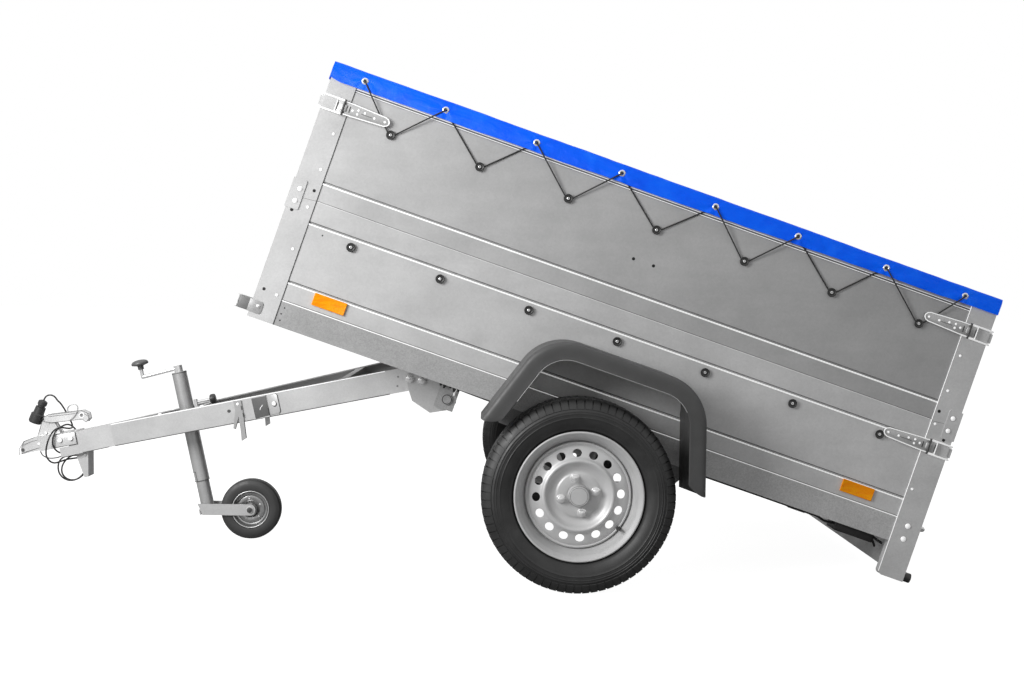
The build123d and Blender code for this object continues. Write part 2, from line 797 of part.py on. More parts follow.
def coupling_head():
    """Pressed coupling: a rounded nose with a ball socket, and a sleeve between the arms."""
    sleeve = arm_nose_y - sheet
    inside = sleeve - head_sheet
    lip = socket_lip
    nose_end = head_front + nose_length
    neck_end = nose_end + neck_length
    outline = [(head_front, lip), (head_front + 4, lip + 22), (head_front + 24, lip + 44),
               (head_front + 64, lip + 50), (arm_front - seat_gap, arm_top + 4),
               (arm_front - seat_gap, arm_top - sheet), (head_rear, arm_top - sheet), (head_rear, lip)]
    profile = side_plate(outline, -sleeve, sleeve)
    plan = plan_plate([(head_front, -nose_half), (head_front, nose_half), (nose_end, nose_half + 4),
                       (neck_end, sleeve), (head_rear, sleeve), (head_rear, -sleeve),
                       (neck_end, -sleeve), (nose_end, -nose_half - 4)], lip - 1, arm_top + 40)
    nose = plan.edges().filter_by(Axis.Z).sort_by(Axis.X)[:2]
    body = profile & fillet(nose, nose_half - 3)
    body -= block((nose_end + 10, -nose_half + 2, lip - 1), (head_rear + 1, nose_half - 2, arm_top - sheet - 6))
    body -= block((neck_end + 3, -inside, lip - 1), (head_rear + 1, inside, arm_top - sheet - 6))
    a, b = handle_pivot
    stem = side_plate([(a + 36, arm_top - 6), (a + 18, b + 8), (a - 20, b + 8), (a - 46, arm_top)], -13, 13)
    body += stem
    body -= rod((a, -20, b), (a, 20, b), 5 + running_gap)
    body -= rod((socket_at, 0, lip - 2), (socket_at, 0, socket_middle), ball_radius + socket_gap)
    body -= Pos(socket_at, 0, socket_middle) * Sphere(ball_radius + socket_gap)
    return [body]


def coupling_handle():
    """Channel lever over the coupling, with a curled end and an eye."""
    a, b = handle_pivot
    top = [(a - lever_nose, b + 20), (a + 8, b + 26), (a + 118, b + 16), (a + 134, b + 4), (a + 135, b - 16),
           (a + 123, b - 25), (a + 114, b - 12), (a + 12, b - 2), (a - lever_nose, b + 6)]
    lever = side_plate(top, -lever_half_width, lever_half_width)
    lever = fillet(lever.edges().filter_by(Axis.Y).sort_by(Axis.X)[-3:], 5)
    hollow = [(a - 12, b - 30), (a - 12, b + 20), (a + 8, b + 23), (a + 106, b + 14), (a + 106, b - 30)]
    lever -= side_plate(hollow, -14, 14)
    lever -= rod((a + 114, -20, b + 1), (a + 114, 20, b + 1), 6)
    lever += rod((a, -15, b), (a, 15, b), 5)
    return [lever]


def support_leg():
    """Folded leg under the drawbar: a leaning rear web and two tapering flanges."""
    top = arm_top - arm_height
    foot = leg_rear - leg_lean
    web = side_plate([(leg_rear, top), (leg_rear - sheet, top), (foot - sheet, leg_foot), (foot, leg_foot)],
                     -leg_half_width, leg_half_width)
    flange = [(leg_rear, top), (leg_rear - leg_top_depth, top), (leg_rear - leg_top_depth, top - leg_shoulder),
              (foot - leg_foot_depth, leg_foot), (foot, leg_foot)]
    side = side_plate(flange, leg_half_width - sheet, leg_half_width)
    return [web + side + other_side(side)]


plug_axis = (Vector(plug_head[0], 0, plug_head[1]) - Vector(plug_foot[0], 0, plug_foot[1])).normalized()
plug_length = plug_steps[-1][0]


def on_plug(along):
    """Point on the connector's axis."""
    return Vector(plug_foot[0], 0, plug_foot[1]) + plug_axis * along


def trailer_plug():
    """Stepped connector body with a gland nut, held by a peg in front of the lever."""
    outline = [(0, plug_steps[0][0])] + [(r, t) for t, r in plug_steps] + [(0, plug_length)]
    body = revolve(make_face(Polyline(*[(r, 0, t) for r, t in outline], close=True)), Axis.Z)
    body = Plane(origin=on_plug(0), z_dir=plug_axis).location * body
    across = Vector(plug_axis.Z, 0, -plug_axis.X)
    peg_end = on_plug(plug_peg_at) + across * plug_peg_reach
    body += rod(tuple(on_plug(plug_peg_at)), tuple(peg_end), plug_peg_radius)
    lever_front = handle_pivot[0] - lever_nose - seat_gap
    body += block((lever_front - plug_holder_sheet, -lever_half_width, peg_end.Z - plug_peg_radius),
                  (lever_front, lever_half_width, peg_end.Z + plug_peg_radius))
    return [body]


def plug_cable():
    """Tube along straight runs that are joined by arcs, up to the connector's gland."""
    exit_way = on_plug(plug_length)
    lead = [Vector(*point) for point in cable_route]
    turns = (0, 36, 68, 98)
    tail = [exit_way]
    heading = degrees(atan2(plug_axis.Z, plug_axis.X))
    for turn in turns:
        way = radians(heading - turn)
        tail.append(tail[-1] + Vector(cos(way), 0, sin(way)) * cable_radius * 4.4)
    route = lead + tail[::-1]
    radii = []
    for before, at, after in zip(route, route[1:], route[2:]):
        turn = radians((at - before).get_angle(after - at))
        radii.append(0.45 * min((at - before).length, (after - at).length) / tan(turn / 2))
    line = FilletPolyline(*route, radius=radii)
    tube = sweep(Plane(origin=line @ 0, z_dir=line % 0) * Circle(cable_radius), line)
    print("cable", round(line.length), "mm, tightest arc", round(min(radii), 1),
          "volume share", round(tube.volume / (line.length * 3.14159 * cable_radius ** 2), 4))
    return [tube]


def tilt_hooks():
    hook = side_plate([(-14, 12), (14, 8), (12, -30), (4, -112), (-14, -118), (-10, -90), (-6, -40),
                       (-28, -78), (-34, -74), (-14, -20)], 0, 5)
    return both_sides(arm_side(hook_at) * (Pos(0, 0, hook_height) * hook))


def jockey_clamp():
    """Ring round the jockey tube, bolted to the front cross bar, and its clamping screw."""
    ring = rod((jockey_tube_at, 0, clamp_low), (jockey_tube_at, 0, clamp_high),
               outer_tube_radius + clamp_wall, outer_tube_radius)
    inside = jockey_tube_at + outer_tube_radius + 4
    link = block((inside, -16, clamp_low + 4), (bar_places[0][0], 16, clamp_high - 4))
    lug = block((inside, -9, clamp_high - 5), (bar_places[0][0], 9, screw_height + 10))
    screw = rod((inside, 0, screw_height), (screw_end, 0, screw_height), screw_radius)
    return [ring + link + lug + screw]


def outer_tube():
    tube = rod((jockey_tube_at, 0, outer_tube_end), (jockey_tube_at, 0, outer_tube_top),
               outer_tube_radius, outer_tube_radius - outer_tube_wall)
    cap = rod((jockey_tube_at, 0, outer_tube_top), (jockey_tube_at, 0, outer_tube_top + 3), outer_tube_radius)
    slot = block((jockey_tube_at - outer_tube_radius - 1, -end_slot_width, outer_tube_end - 1),
                 (jockey_tube_at - outer_tube_radius / 2, 0, outer_tube_end + end_slot_height))
    return [tube + cap - slot]


def jockey_crank():
    top = outer_tube_top + 3
    bend = (jockey_tube_at - crank_reach, 0, top + 8)
    hub = rod((jockey_tube_at, 0, top), (jockey_tube_at, 0, top + 22), 14)
    arm = rod((jockey_tube_at - 5, 0, top + 13), bend, crank_rod)
    stem = rod(bend, (jockey_tube_at - crank_reach, 0, top + crank_rise), crank_rod)
    return [hub + arm + Pos(*bend) * Sphere(crank_rod) + stem]


def crank_knob():
    foot = outer_tube_top + 3 + crank_rise
    profile = [(0, 0), (10, 0), (10, 12), (28, 16), (28, 24), (22, 31), (0, 33)]
    knob = revolve(make_face(Polyline(*[(r, 0, z) for r, z in profile], close=True)), Axis.Z)
    knob_end = screw_end + screw_knob_cap
    screw_knob = rod((screw_end - screw_grip, 0, screw_height), (knob_end, 0, screw_height), screw_knob_radius)
    screw_knob -= rod((screw_end - screw_grip - 1, 0, screw_height),
                      (screw_end + running_gap, 0, screw_height), screw_radius + running_gap)
    return [Pos(jockey_tube_at - crank_reach, 0, foot) * knob, screw_knob]


inner_tube_radius = outer_tube_radius - outer_tube_wall - running_gap


def inner_tube():
    return [rod((jockey_tube_at, 0, inner_tube_end), (jockey_tube_at, 0, inner_tube_top),
                inner_tube_radius, inner_tube_radius - outer_tube_wall)]


def jockey_fork():
    """Trailing fork under the inner tube, level when the wheel stands on the ground."""
    slope = tan(radians(bar_tilt))
    high = fork_depth / 2 / cos(radians(bar_tilt))
    front = jockey_tube_at - outer_tube_radius
    mid = -jockey_axle_down + (jockey_axle_at - front) * slope
    outline = [(front, mid + high), (jockey_axle_at, high - jockey_axle_down),
               (jockey_axle_at, -high - jockey_axle_down), (front + 8, mid - high - 8 * slope)]
    side = side_plate(outline, fork_gap, fork_gap + fork_sheet)
    side += rod((jockey_axle_at, fork_gap, -jockey_axle_down),
                (jockey_axle_at, fork_gap + fork_sheet, -jockey_axle_down), fork_depth / 2)
    seat = inner_tube_end - 0.3
    wide = fork_gap + fork_sheet
    bridge = block((front, -wide, seat - fork_sheet), (jockey_tube_at + outer_tube_radius, wide, seat))
    bow = block((front, -wide, mid - high), (front + fork_sheet, wide, seat))
    spigot = rod((jockey_tube_at, 0, seat - 1), (jockey_tube_at, 0, seat + swivel_pin),
                 inner_tube_radius - outer_tube_wall - running_gap)
    reach = wide + 6
    pin = rod((jockey_axle_at, -reach, -jockey_axle_down), (jockey_axle_at, reach, -jockey_axle_down),
              jockey_pin_radius)
    return [side + other_side(side) + bridge + bow + spigot + pin]


def jockey_rim():
    half = 20.0
    bore = jockey_pin_radius + running_gap
    rim = lathe([(bore, -half - 4), (24, -half - 4), (30, -half + 8), (52, -half + 8), (jockey_rim_radius, -half),
                 (jockey_rim_radius, half), (52, half - 8), (30, half - 8), (24, half + 4), (bore, half + 4)])
    return [Location((jockey_axle_at, 0, -jockey_axle_down)) * rim]


def jockey_tyre():
    half = jockey_width / 2
    tyre = lathe([(jockey_rim_radius, -half + 4), (jockey_rim_radius + 12, -half), (jockey_radius - 10, -half),
                  (jockey_radius, -half + 14), (jockey_radius, half - 14), (jockey_radius - 10, half),
                  (jockey_rim_radius + 12, half), (jockey_rim_radius, half - 4)])
    return [Location((jockey_axle_at, 0, -jockey_axle_down)) * tyre]


def wheel_hub():
    mount = half_track + 30
    hub = rod((0, half_track - 88, 0), (0, mount - 3, 0), hub_body_radius)
    hub += rod((0, mount - 4, 0), (0, mount + 30, 0), hub_spigot_radius)
    hub -= rod((0, half_track - 90, 0), (0, half_track - 16, 0), spindle_radius + running_gap)
    return hub


def hole_circle(circle_radius, hole_radius, count, first_turn):
    """Drills parallel to the axle, spread evenly on a circle."""
    drill = Rot(90, 0, 0) * Cylinder(hole_radius, 4 * half_track)
    places = [Vector(circle_radius, 0, 0).rotate(Axis.Y, first_turn + 360 / count * k) for k in range(count)]
    return [Pos(*place) * drill for place in places]


def wheel_rim():
    half = rim_width / 2
    well = rim_flange_radius - 32
    rim = lathe([
        (rim_flange_radius, half_track - half), (rim_flange_radius, half_track - half + rim_sheet),
        (rim_flange_radius - 14, half_track - half + 12), (rim_flange_radius - 16, half_track - half + 30),
        (well, half_track - 20), (well, half_track + 20),
        (rim_flange_radius - 16, half_track + half - 30), (rim_flange_radius - 14, half_track + half - 12),
        (rim_flange_radius, half_track + half - rim_sheet), (rim_flange_radius, half_track + half),
        (rim_flange_radius - 14, half_track + half - 4), (rim_flange_radius - 20, half_track + half - 30),
        (well - 4, half_track + 24), (well - 4, half_track - 24),
        (rim_flange_radius - 20, half_track - half + 30), (rim_flange_radius - 14, half_track - half + 4),
    ])
    mount = half_track + 30
    disc = lathe([(hub_spigot_radius + 0.1, mount - 3), (70, mount - 3), (84, mount + 10), (105, mount + 14),
                  (well - 2, mount - 6), (well - 2, mount - 1), (106, mount + 19), (80, mount + 15),
                  (66, mount + 2), (hub_spigot_radius + 0.1, mount + 2)])
    vents = hole_circle(vent_circle_radius, vent_radius, vent_count, 0)
    bolts = hole_circle(bolt_circle_radius, bolt_hole_radius, bolt_count, bolt_turn)
    for hole in vents + bolts:
        disc -= hole
    return rim + disc


def wheel_tyre():
    half = tyre_width / 2
    bead = rim_flange_radius - 14
    return lathe([
        (bead, half_track - 54), (rim_flange_radius + 3, half_track - 58), (228, half_track - half),
        (250, half_track - half + 4), (tyre_radius - 8, half_track - 62), (tyre_radius, half_track - 50),
        (tyre_radius, half_track + 50), (tyre_radius - 8, half_track + 62), (250, half_track + half - 4),
        (228, half_track + half), (rim_flange_radius + 3, half_track + 58), (bead, half_track + 54),
    ])


wheel_left = {"hub_left": wheel_hub(), "rim_left": wheel_rim(), "tyre_left": wheel_tyre()}

nodes = {
    "side_sills": (bed_place, side_sills()),
    "cross_members": (bed_place, cross_members()),
    "load_floor": (bed_place, load_floor()),
    "lower_sides": (bed_place, lower_sides()),
    "upper_sides": (bed_place, upper_sides()),
    "corner_posts": (bed_place, corner_posts()),
    "front_wall": (bed_place, front_wall()),
    "front_gate": (bed_place, [upper_gate(bed_front, -1)]),
    "rear_gate": (bed_place, [upper_gate(bed_rear, 1)]),
    "tailgate": (bed_place, tailgate()),
    "lamp_board": (bed_place, lamp_board()),
    "lamps": (bed_place, lamps()),
    "latches": (bed_place, latches()),
    "rear_buffers": (bed_place, rear_buffers()),
    "mudguards": (bed_place, mudguards()),
    "axle_beam": (bed_place, axle_beam()),
    "leaf_springs": (bed_place, leaf_springs()),
    "bed_hinge_brackets": (bed_place, bed_hinge_brackets()),
    "tarp_top": (bed_place, tarp_top()),
    "tarp_side_skirts": (bed_place, tarp_side_skirts()),
    "tarp_front_skirt": (bed_place, tarp_end_skirt(bed_front - tarp_gap - tarp_sheet)),
    "tarp_rear_skirt": (bed_place, tarp_end_skirt(bed_rear + tarp_gap)),
    "tarp_buttons": (bed_place, tarp_buttons()),
    "drawbar_arms": (bar_place, drawbar_arms()),
    "drawbar_cross_bars": (bar_place, drawbar_cross_bars()),
    "coupling_head": (bar_place, coupling_head()),
    "coupling_handle": (bar_place, coupling_handle()),
    "support_leg": (bar_place, support_leg()),
    "trailer_plug": (bar_place, trailer_plug()),
    "plug_cable": (bar_place, plug_cable()),
    "tilt_hooks": (bar_place, tilt_hooks()),
    "jockey_clamp": (bar_place, jockey_clamp()),
    "jockey_outer_tube": (bar_place, outer_tube()),
    "jockey_crank": (bar_place, jockey_crank()),
    "crank_knob": (bar_place, crank_knob()),
    "jockey_inner_tube": (bar_place, inner_tube()),
    "jockey_fork": (bar_place, jockey_fork()),
    "jockey_rim": (bar_place, jockey_rim()),
    "jockey_tyre": (bar_place, jockey_tyre()),
}
for name, piece in wheel_left.items():
    nodes[name] = (wheel_place, [other_side(piece)])
    nodes[name.replace("left", "right")] = (wheel_place, [piece])

built = {}
for name, (place, solids) in nodes.items():
    built[name] = Compound([place * solid for solid in solids])

# The origin is on the ground, under the middle of the whole trailer.
boxes = [piece.bounding_box() for piece in built.values()]
low_x = min(box.min.X for box in boxes)
high_x = max(box.max.X for box in boxes)
centring = Location((-(low_x + high_x) / 2, 0, 0))

os.makedirs("parts", exist_ok=True)
for name, piece in built.items():
    export_step(piece.moved(centring), f"parts/{name}.step")
print("bed tilt", round(bed_tilt, 2), "drawbar tilt", round(bar_tilt, 2))
print("shift", round(centring.position.X, 2), "pivot", pivot_point)
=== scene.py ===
import math

import bpy
from mathutils import Matrix, Vector, noise


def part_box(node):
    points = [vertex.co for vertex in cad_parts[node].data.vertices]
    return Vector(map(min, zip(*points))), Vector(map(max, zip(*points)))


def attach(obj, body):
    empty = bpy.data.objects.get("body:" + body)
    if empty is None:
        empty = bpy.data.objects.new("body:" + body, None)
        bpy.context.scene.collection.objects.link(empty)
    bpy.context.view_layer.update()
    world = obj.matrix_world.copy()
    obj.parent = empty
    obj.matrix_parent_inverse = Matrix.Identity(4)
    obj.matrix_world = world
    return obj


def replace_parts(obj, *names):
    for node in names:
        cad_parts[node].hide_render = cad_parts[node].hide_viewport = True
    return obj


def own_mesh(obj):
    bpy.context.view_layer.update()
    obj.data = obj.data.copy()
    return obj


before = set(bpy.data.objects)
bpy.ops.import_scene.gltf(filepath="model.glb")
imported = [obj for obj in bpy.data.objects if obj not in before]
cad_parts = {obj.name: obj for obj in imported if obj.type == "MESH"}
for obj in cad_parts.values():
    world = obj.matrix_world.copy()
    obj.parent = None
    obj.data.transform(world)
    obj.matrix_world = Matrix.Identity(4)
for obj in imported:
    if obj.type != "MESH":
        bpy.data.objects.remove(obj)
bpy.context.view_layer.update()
print("frame loaded")


def mm(*points):
    # Points of a section, outline or route, written in millimetres and given in metres
    return [tuple(value / 1000 for value in point) for point in points]


def at(x, y, z):
    return Matrix.Translation((x, y, z))


def turned(degrees, axis):
    return Matrix.Rotation(math.radians(degrees), 4, axis)


# Sizes that place the bed and the drawbar, in metres
trailer = {
    "tyreRadius": 0.2735,
    "halfTrack": 0.700,
    "axleBelowSill": 0.1565,
    "bufferEnd": 1.0255,
    "bufferLow": 0.101,
    "pivotAhead": 0.437,
    "pivotBelow": 0.0515,
    "jockeyRadius": 0.100,
    "jockeyTube": -0.876,
    "jockeyAxle": (-0.736, -0.2545),
    "halfPanel": 0.590,
    "halfPost": 0.592,
    "armNose": 0.048,
    "armBend": -1.122,
    "armSlope": 0.36976,
}

# Frames: u, v on the tipped bed, a, b on the drawbar, and one at each wheel's middle
low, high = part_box("tyre_left")
wheelX = (low[0] + high[0]) / 2
bufferDrop = trailer["axleBelowSill"] - trailer["bufferLow"]
bedTilt = math.asin(trailer["tyreRadius"] / math.hypot(trailer["bufferEnd"], bufferDrop))
bedTilt += math.atan2(bufferDrop, trailer["bufferEnd"])
bedFrame = (at(wheelX, 0, trailer["tyreRadius"]) @ Matrix.Rotation(bedTilt, 4, "Y")
            @ at(0, 0, trailer["axleBelowSill"]))
hingePoint = bedFrame @ Vector((-trailer["pivotAhead"], 0, -trailer["pivotBelow"]))
jockeyA, jockeyB = trailer["jockeyAxle"]
barTilt = math.asin((hingePoint.z - trailer["jockeyRadius"]) / math.hypot(jockeyA, jockeyB))
barTilt -= math.atan2(-jockeyB, -jockeyA)
barFrame = Matrix.Translation(hingePoint) @ Matrix.Rotation(-barTilt, 4, "Y")
mirrored = Matrix.Scale(-1, 4, (0, 1, 0))
jockeyFrame = barFrame @ at(jockeyA, 0, jockeyB)
homes = {
    "bed": bedFrame,
    "drawbar": barFrame,
    "jockey_wheel": jockeyFrame,
    "jockey_fork": jockeyFrame,
    "wheel_left": at(wheelX, -trailer["halfTrack"], trailer["tyreRadius"]),
    "wheel_right": at(wheelX, trailer["halfTrack"], trailer["tyreRadius"]) @ mirrored,
}

camera = {
    "place": (0.01031, -4.2871, 0.8431),
    "yaw": -1.809,
    "pitch": 0.56,
    "roll": 0.938,
    "lens": 44.76,
    "sensor": 36,
    "shiftX": -0.01455,
    "shiftY": -0.0372,
    "farthest": 200,
}


def makeCamera():
    yaw, pitch, roll = (math.radians(camera[k]) for k in ("yaw", "pitch", "roll"))
    ahead = Vector((-math.sin(yaw) * math.cos(pitch), math.cos(yaw) * math.cos(pitch), -math.sin(pitch)))
    right = Vector((math.cos(yaw), math.sin(yaw), 0))
    up = right.cross(ahead)
    rightRolled = right * math.cos(roll) + up * math.sin(roll)
    upRolled = up * math.cos(roll) - right * math.sin(roll)
    bpy.ops.object.camera_add()
    eye = bpy.context.object
    eye.name = "camera"
    turn = Matrix((rightRolled, upRolled, -ahead)).transposed().to_4x4()
    eye.matrix_world = Matrix.Translation(camera["place"]) @ turn
    eye.data.lens = camera["lens"]
    eye.data.sensor_width = camera["sensor"]
    eye.data.shift_x = camera["shiftX"]
    eye.data.shift_y = camera["shiftY"]
    eye.data.clip_end = camera["farthest"]
    bpy.context.scene.camera = eye


makeCamera()

# Lead of the lamps, wound round the coupling, with its connector parked on the lever
plugLead = {
    "length": 1.512,
    "thick": 0.0055,
    "route": mm((-1160, 0, 76), (-1184, 0, 75), (-1204, 0, 68), (-1220, 0, 54), (-1228, -3, 36),
                (-1232, -7, 16), (-1239, -8, -4), (-1252, -10, -22), (-1272, -15, -35), (-1295, -19, -37),
                (-1315, -24, -25), (-1326, -27, -4), (-1325, -27, 18), (-1318, -25, 36), (-1303, -21, 47),
                (-1284, -10, 46), (-1264, -1, 42), (-1248, 6, 33), (-1240, 10, 15), (-1243, 9, -6),
                (-1256, 6, -25), (-1277, -1, -37), (-1300, -7, -36), (-1318, -9, -21), (-1325, -5, 0),
                (-1319, 2, 21), (-1304, 13, 37), (-1287, 21, 43), (-1270, 22, 46), (-1258, 13, 48),
                (-1253, -1, 50), (-1258, -15, 52), (-1270, -24, 55), (-1286, -28, 58), (-1302, -38, 61),
                (-1312, -51, 74), (-1316, -57, 93), (-1312, -58, 112), (-1305, -56, 127),
                (-1299, -41, 139), (-1293, -22, 144), (-1288, -1, 148), (-1282, 21, 149), (-1276, 41, 142),
                (-1269, 56, 125), (-1263, 63, 101), (-1258, 65, 76), (-1257, 61, 53), (-1260, 46, 34),
                (-1266, 21, 31), (-1277, -5, 34), (-1291, -28, 37), (-1307, -46, 35), (-1324, -55, 34),
                (-1336, -60, 44), (-1341, -67, 63), (-1335, -71, 86), (-1324, -73, 109), (-1311, -69, 130),
                (-1298, -53, 144), (-1285, -32, 145), (-1272, -15, 136), (-1263, 4, 133), (-1265, 22, 140),
                (-1271, 28, 162), (-1280, 27, 195), (-1287, 17, 223), (-1290, 4, 232),
                (-1294.46, 0, 247.07), (-1303.47, 0, 255.14), (-1315.31, 0, 257.63), (-1326.67, 0, 253.47),
                (-1333.41, 0, 243.42)),
}


def makePlugLead():
    curve = bpy.data.curves.new("plug_lead", "CURVE")
    curve.dimensions = "3D"
    # The points' radius carries the thickness, so that the curve's own box fits it
    curve.bevel_depth = 1
    curve.bevel_resolution = 3
    curve.use_fill_caps = True
    spline = curve.splines.new("NURBS")
    spline.points.add(len(plugLead["route"]) - 1)
    for point, place in zip(spline.points, plugLead["route"]):
        point.co = (*(barFrame @ Vector(place)), 1)
        point.radius = plugLead["thick"] / 2
    spline.order_u = 3
    spline.use_endpoint_u = True
    spline.resolution_u = 5
    lead = bpy.data.objects.new("plug_lead", curve)
    bpy.context.scene.collection.objects.link(lead)
    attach(lead, "drawbar")
    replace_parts(lead, "plug_cable")
    return lead


lead = makePlugLead()

studio = {
    "worldLight": 0.255,
    "floorSize": 80,
    "floorTone": 0.42,
    "floorLift": 0.97,
    "white": (1, 1, 1, 1),
}

# Name, place, aim, width and height, power
lights = (
    ("key", (-2.4, -2.5, 1.9), (-0.8, -0.5, 0.75), (1.6, 1.4), 118),
    ("fill", (3.6, -3.6, 1.2), (0.4, 0, 0.4), (2.5, 2.0), 3),
    ("top", (0, 0, 4.2), (0, 0, 0.5), (4.5, 3.0), 47),
)


def addNode(tree, kind, **values):
    node = tree.nodes.new("ShaderNode" + kind)
    for socket, value in values.items():
        node.inputs[socket.replace("_", " ")].default_value = value
    return node


def rayShare(tree, *rays):
    # 1 where the ray is one of those named
    path = addNode(tree, "LightPath")
    total = path.outputs[rays[0]]
    for ray in rays[1:]:
        step = addNode(tree, "Math")
        step.operation = "ADD"
        step.use_clamp = True
        tree.links.new(total, step.inputs[0])
        tree.links.new(path.outputs[ray], step.inputs[1])
        total = step.outputs[0]
    return total


def mixInto(tree, out, share, first, second):
    mix = addNode(tree, "MixShader")
    tree.links.new(share, mix.inputs["Fac"])
    tree.links.new(first.outputs[0], mix.inputs[1])
    tree.links.new(second.outputs[0], mix.inputs[2])
    tree.links.new(mix.outputs[0], addNode(tree, out).inputs[0])


def makeWorld():
    # White where it is looked at, and dimmer as a light
    world = bpy.context.scene.world or bpy.data.worlds.new("studio")
    bpy.context.scene.world = world
    world.use_nodes = True
    tree = world.node_tree
    tree.nodes.clear()
    soft = addNode(tree, "Background", Color=studio["white"], Strength=studio["worldLight"])
    plain = addNode(tree, "Background", Color=studio["white"], Strength=1)
    seen = rayShare(tree, "Is Camera Ray", "Is Glossy Ray", "Is Transmission Ray")
    mixInto(tree, "OutputWorld", seen, soft, plain)


def makeLights():
    for name, place, target, size, power in lights:
        bpy.ops.object.light_add(type="AREA", location=place)
        lamp = bpy.context.object
        lamp.name = name
        lamp.data.shape = "RECTANGLE"
        lamp.data.size, lamp.data.size_y = size
        lamp.data.energy = power
        lamp.rotation_euler = (Vector(target) - Vector(place)).to_track_quat("-Z", "Y").to_euler()


def makeFloor():
    # Lifted to white where it is looked at, and grey as a reflector
    bpy.ops.object.select_all(action="DESELECT")
    bpy.ops.mesh.primitive_plane_add(size=studio["floorSize"])
    floor = bpy.context.object
    floor.name = "floor"
    paper = bpy.data.materials.new("floor_paper")
    paper.use_nodes = True
    tree = paper.node_tree
    tree.nodes.clear()
    matt = addNode(tree, "BsdfDiffuse", Color=(studio["floorTone"],) * 3 + (1,))
    lift = addNode(tree, "Emission", Color=studio["white"], Strength=studio["floorLift"])
    both = addNode(tree, "AddShader")
    tree.links.new(matt.outputs[0], both.inputs[0])
    tree.links.new(lift.outputs[0], both.inputs[1])
    mixInto(tree, "OutputMaterial", rayShare(tree, "Is Camera Ray", "Is Transmission Ray"), matt, both)
    floor.data.materials.append(paper)


makeWorld()
makeLights()
makeFloor()
bpy.context.scene.view_settings.view_transform = "Standard"
print("camera, light and floor set")


# Materials. Each starts here, with object coordinates in metres.
def newFinish(name, **values):
    finish = bpy.data.materials.new(name)
    finish.use_nodes = True
    tree = finish.node_tree
    shader = tree.nodes["Principled BSDF"]
    for socket, value in values.items():
        shader.inputs[socket.replace("_", " ")].default_value = value
    return finish, tree, shader


def placeNode(tree, **values):
    # Object coordinates, turned or stretched
    mapping = addNode(tree, "Mapping", **values)
    tree.links.new(addNode(tree, "TexCoord").outputs["Object"], mapping.inputs["Vector"])
    return mapping.outputs["Vector"]


def grain(tree, scale, detail=4, stretch=(1, 1, 1), rough=0.5):
    spots = addNode(tree, "TexNoise", Scale=scale, Detail=detail, Roughness=rough)
    tree.links.new(placeNode(tree, Scale=stretch), spots.inputs["Vector"])
    return spots.outputs["Fac"]


def ramp(tree, value, *stops):
    # Each stop is a place and a tone, which is a grey level or a colour
    band = addNode(tree, "ValToRGB")
    band.color_ramp.elements[0].position = stops[0][0]
    band.color_ramp.elements[1].position = stops[-1][0]
    for place, _ in stops[1:-1]:
        band.color_ramp.elements.new(place)
    for element, (_, tone) in zip(band.color_ramp.elements, stops):
        element.color = (*tone, 1) if isinstance(tone, tuple) else (tone, tone, tone, 1)
    tree.links.new(value, band.inputs["Fac"])
    return band.outputs["Color"]


def mottle(tree, low, high, scale, detail=4, stretch=(1, 1, 1), ends=(0.3, 0.7)):
    # Noise between two tones
    return ramp(tree, grain(tree, scale, detail, stretch), (ends[0], low), (ends[1], high))


def emboss(tree, shader, value, strength, distance=0.0005):
    bump = addNode(tree, "Bump", Strength=strength, Distance=distance)
    tree.links.new(value, bump.inputs["Height"])
    tree.links.new(bump.outputs["Normal"], shader.inputs["Normal"])


def mixColours(tree, kind, first, second, amount):
    mix = addNode(tree, "Mix", Factor=amount)
    mix.data_type = "RGBA"
    mix.blend_type = kind
    tree.links.new(first, mix.inputs[6])
    tree.links.new(second, mix.inputs[7])
    return mix.outputs[2]


def zincCoat(name, dark, light, crystal, crystalSize, roughness, metallic, ends=(1, 1), paintedGlow=0):
    finish, tree, shader = newFinish(name, Metallic=metallic)
    where = addNode(tree, "TexCoord").outputs["Object"]
    cells = addNode(tree, "TexVoronoi", Scale=crystalSize)
    tree.links.new(where, cells.inputs["Vector"])
    split = addNode(tree, "SeparateColor")
    tree.links.new(cells.outputs["Color"], split.inputs["Color"])
    middle = (dark + light) / 2
    flake = ramp(tree, split.outputs["Red"], (0, dark), (1, light))
    tone = mixColours(tree, "MIX", mottle(tree, middle * 0.96, middle * 1.04, 260, 2), flake, crystal)
    tone = mixColours(tree, "MULTIPLY", tone, mottle(tree, 0.80, 1, 9, 5), 0.6)
    streak = mottle(tree, 0.93, 1, 30, 3, (0.15, 1, 1), (0.35, 0.65))
    tone = mixColours(tree, "MULTIPLY", tone, streak, 0.7)
    # Painted light and shade: the tone changes from the front end to the rear end, standing in for how the
    # light falls along the bed
    along = addNode(tree, "SeparateXYZ")
    tree.links.new(where, along.inputs[0])
    share = addNode(tree, "MapRange", From_Min=-1.1, From_Max=1.3)
    tree.links.new(along.outputs["X"], share.inputs["Value"])
    paintedLightFade = ramp(tree, share.outputs[0], (0, ends[0]), (1, ends[1]))
    tree.links.new(mixColours(tree, "MULTIPLY", tone, paintedLightFade, 1), shader.inputs["Base Color"])
    gloss = mottle(tree, roughness - 0.05, roughness + 0.08, 14, 5)
    tree.links.new(gloss, shader.inputs["Roughness"])
    emboss(tree, shader, grain(tree, 420, 2), 0.10, 0.0006)
    # Painted light: a white glow, where given, makes the finish read brighter than the lamps light it
    shader.inputs["Emission Color"].default_value = studio["white"]
    shader.inputs["Emission Strength"].default_value = paintedGlow
    return finish


def plastic(name, level, roughness, grainScale=900, bumpiness=0.25):
    finish, tree, shader = newFinish(name)
    tree.links.new(mottle(tree, level * 0.9, level * 1.1, 22, 6), shader.inputs["Base Color"])
    tree.links.new(mottle(tree, roughness - 0.06, roughness + 0.06, 60, 3), shader.inputs["Roughness"])
    emboss(tree, shader, grain(tree, grainScale, 3), bumpiness, 0.0006)
    return finish


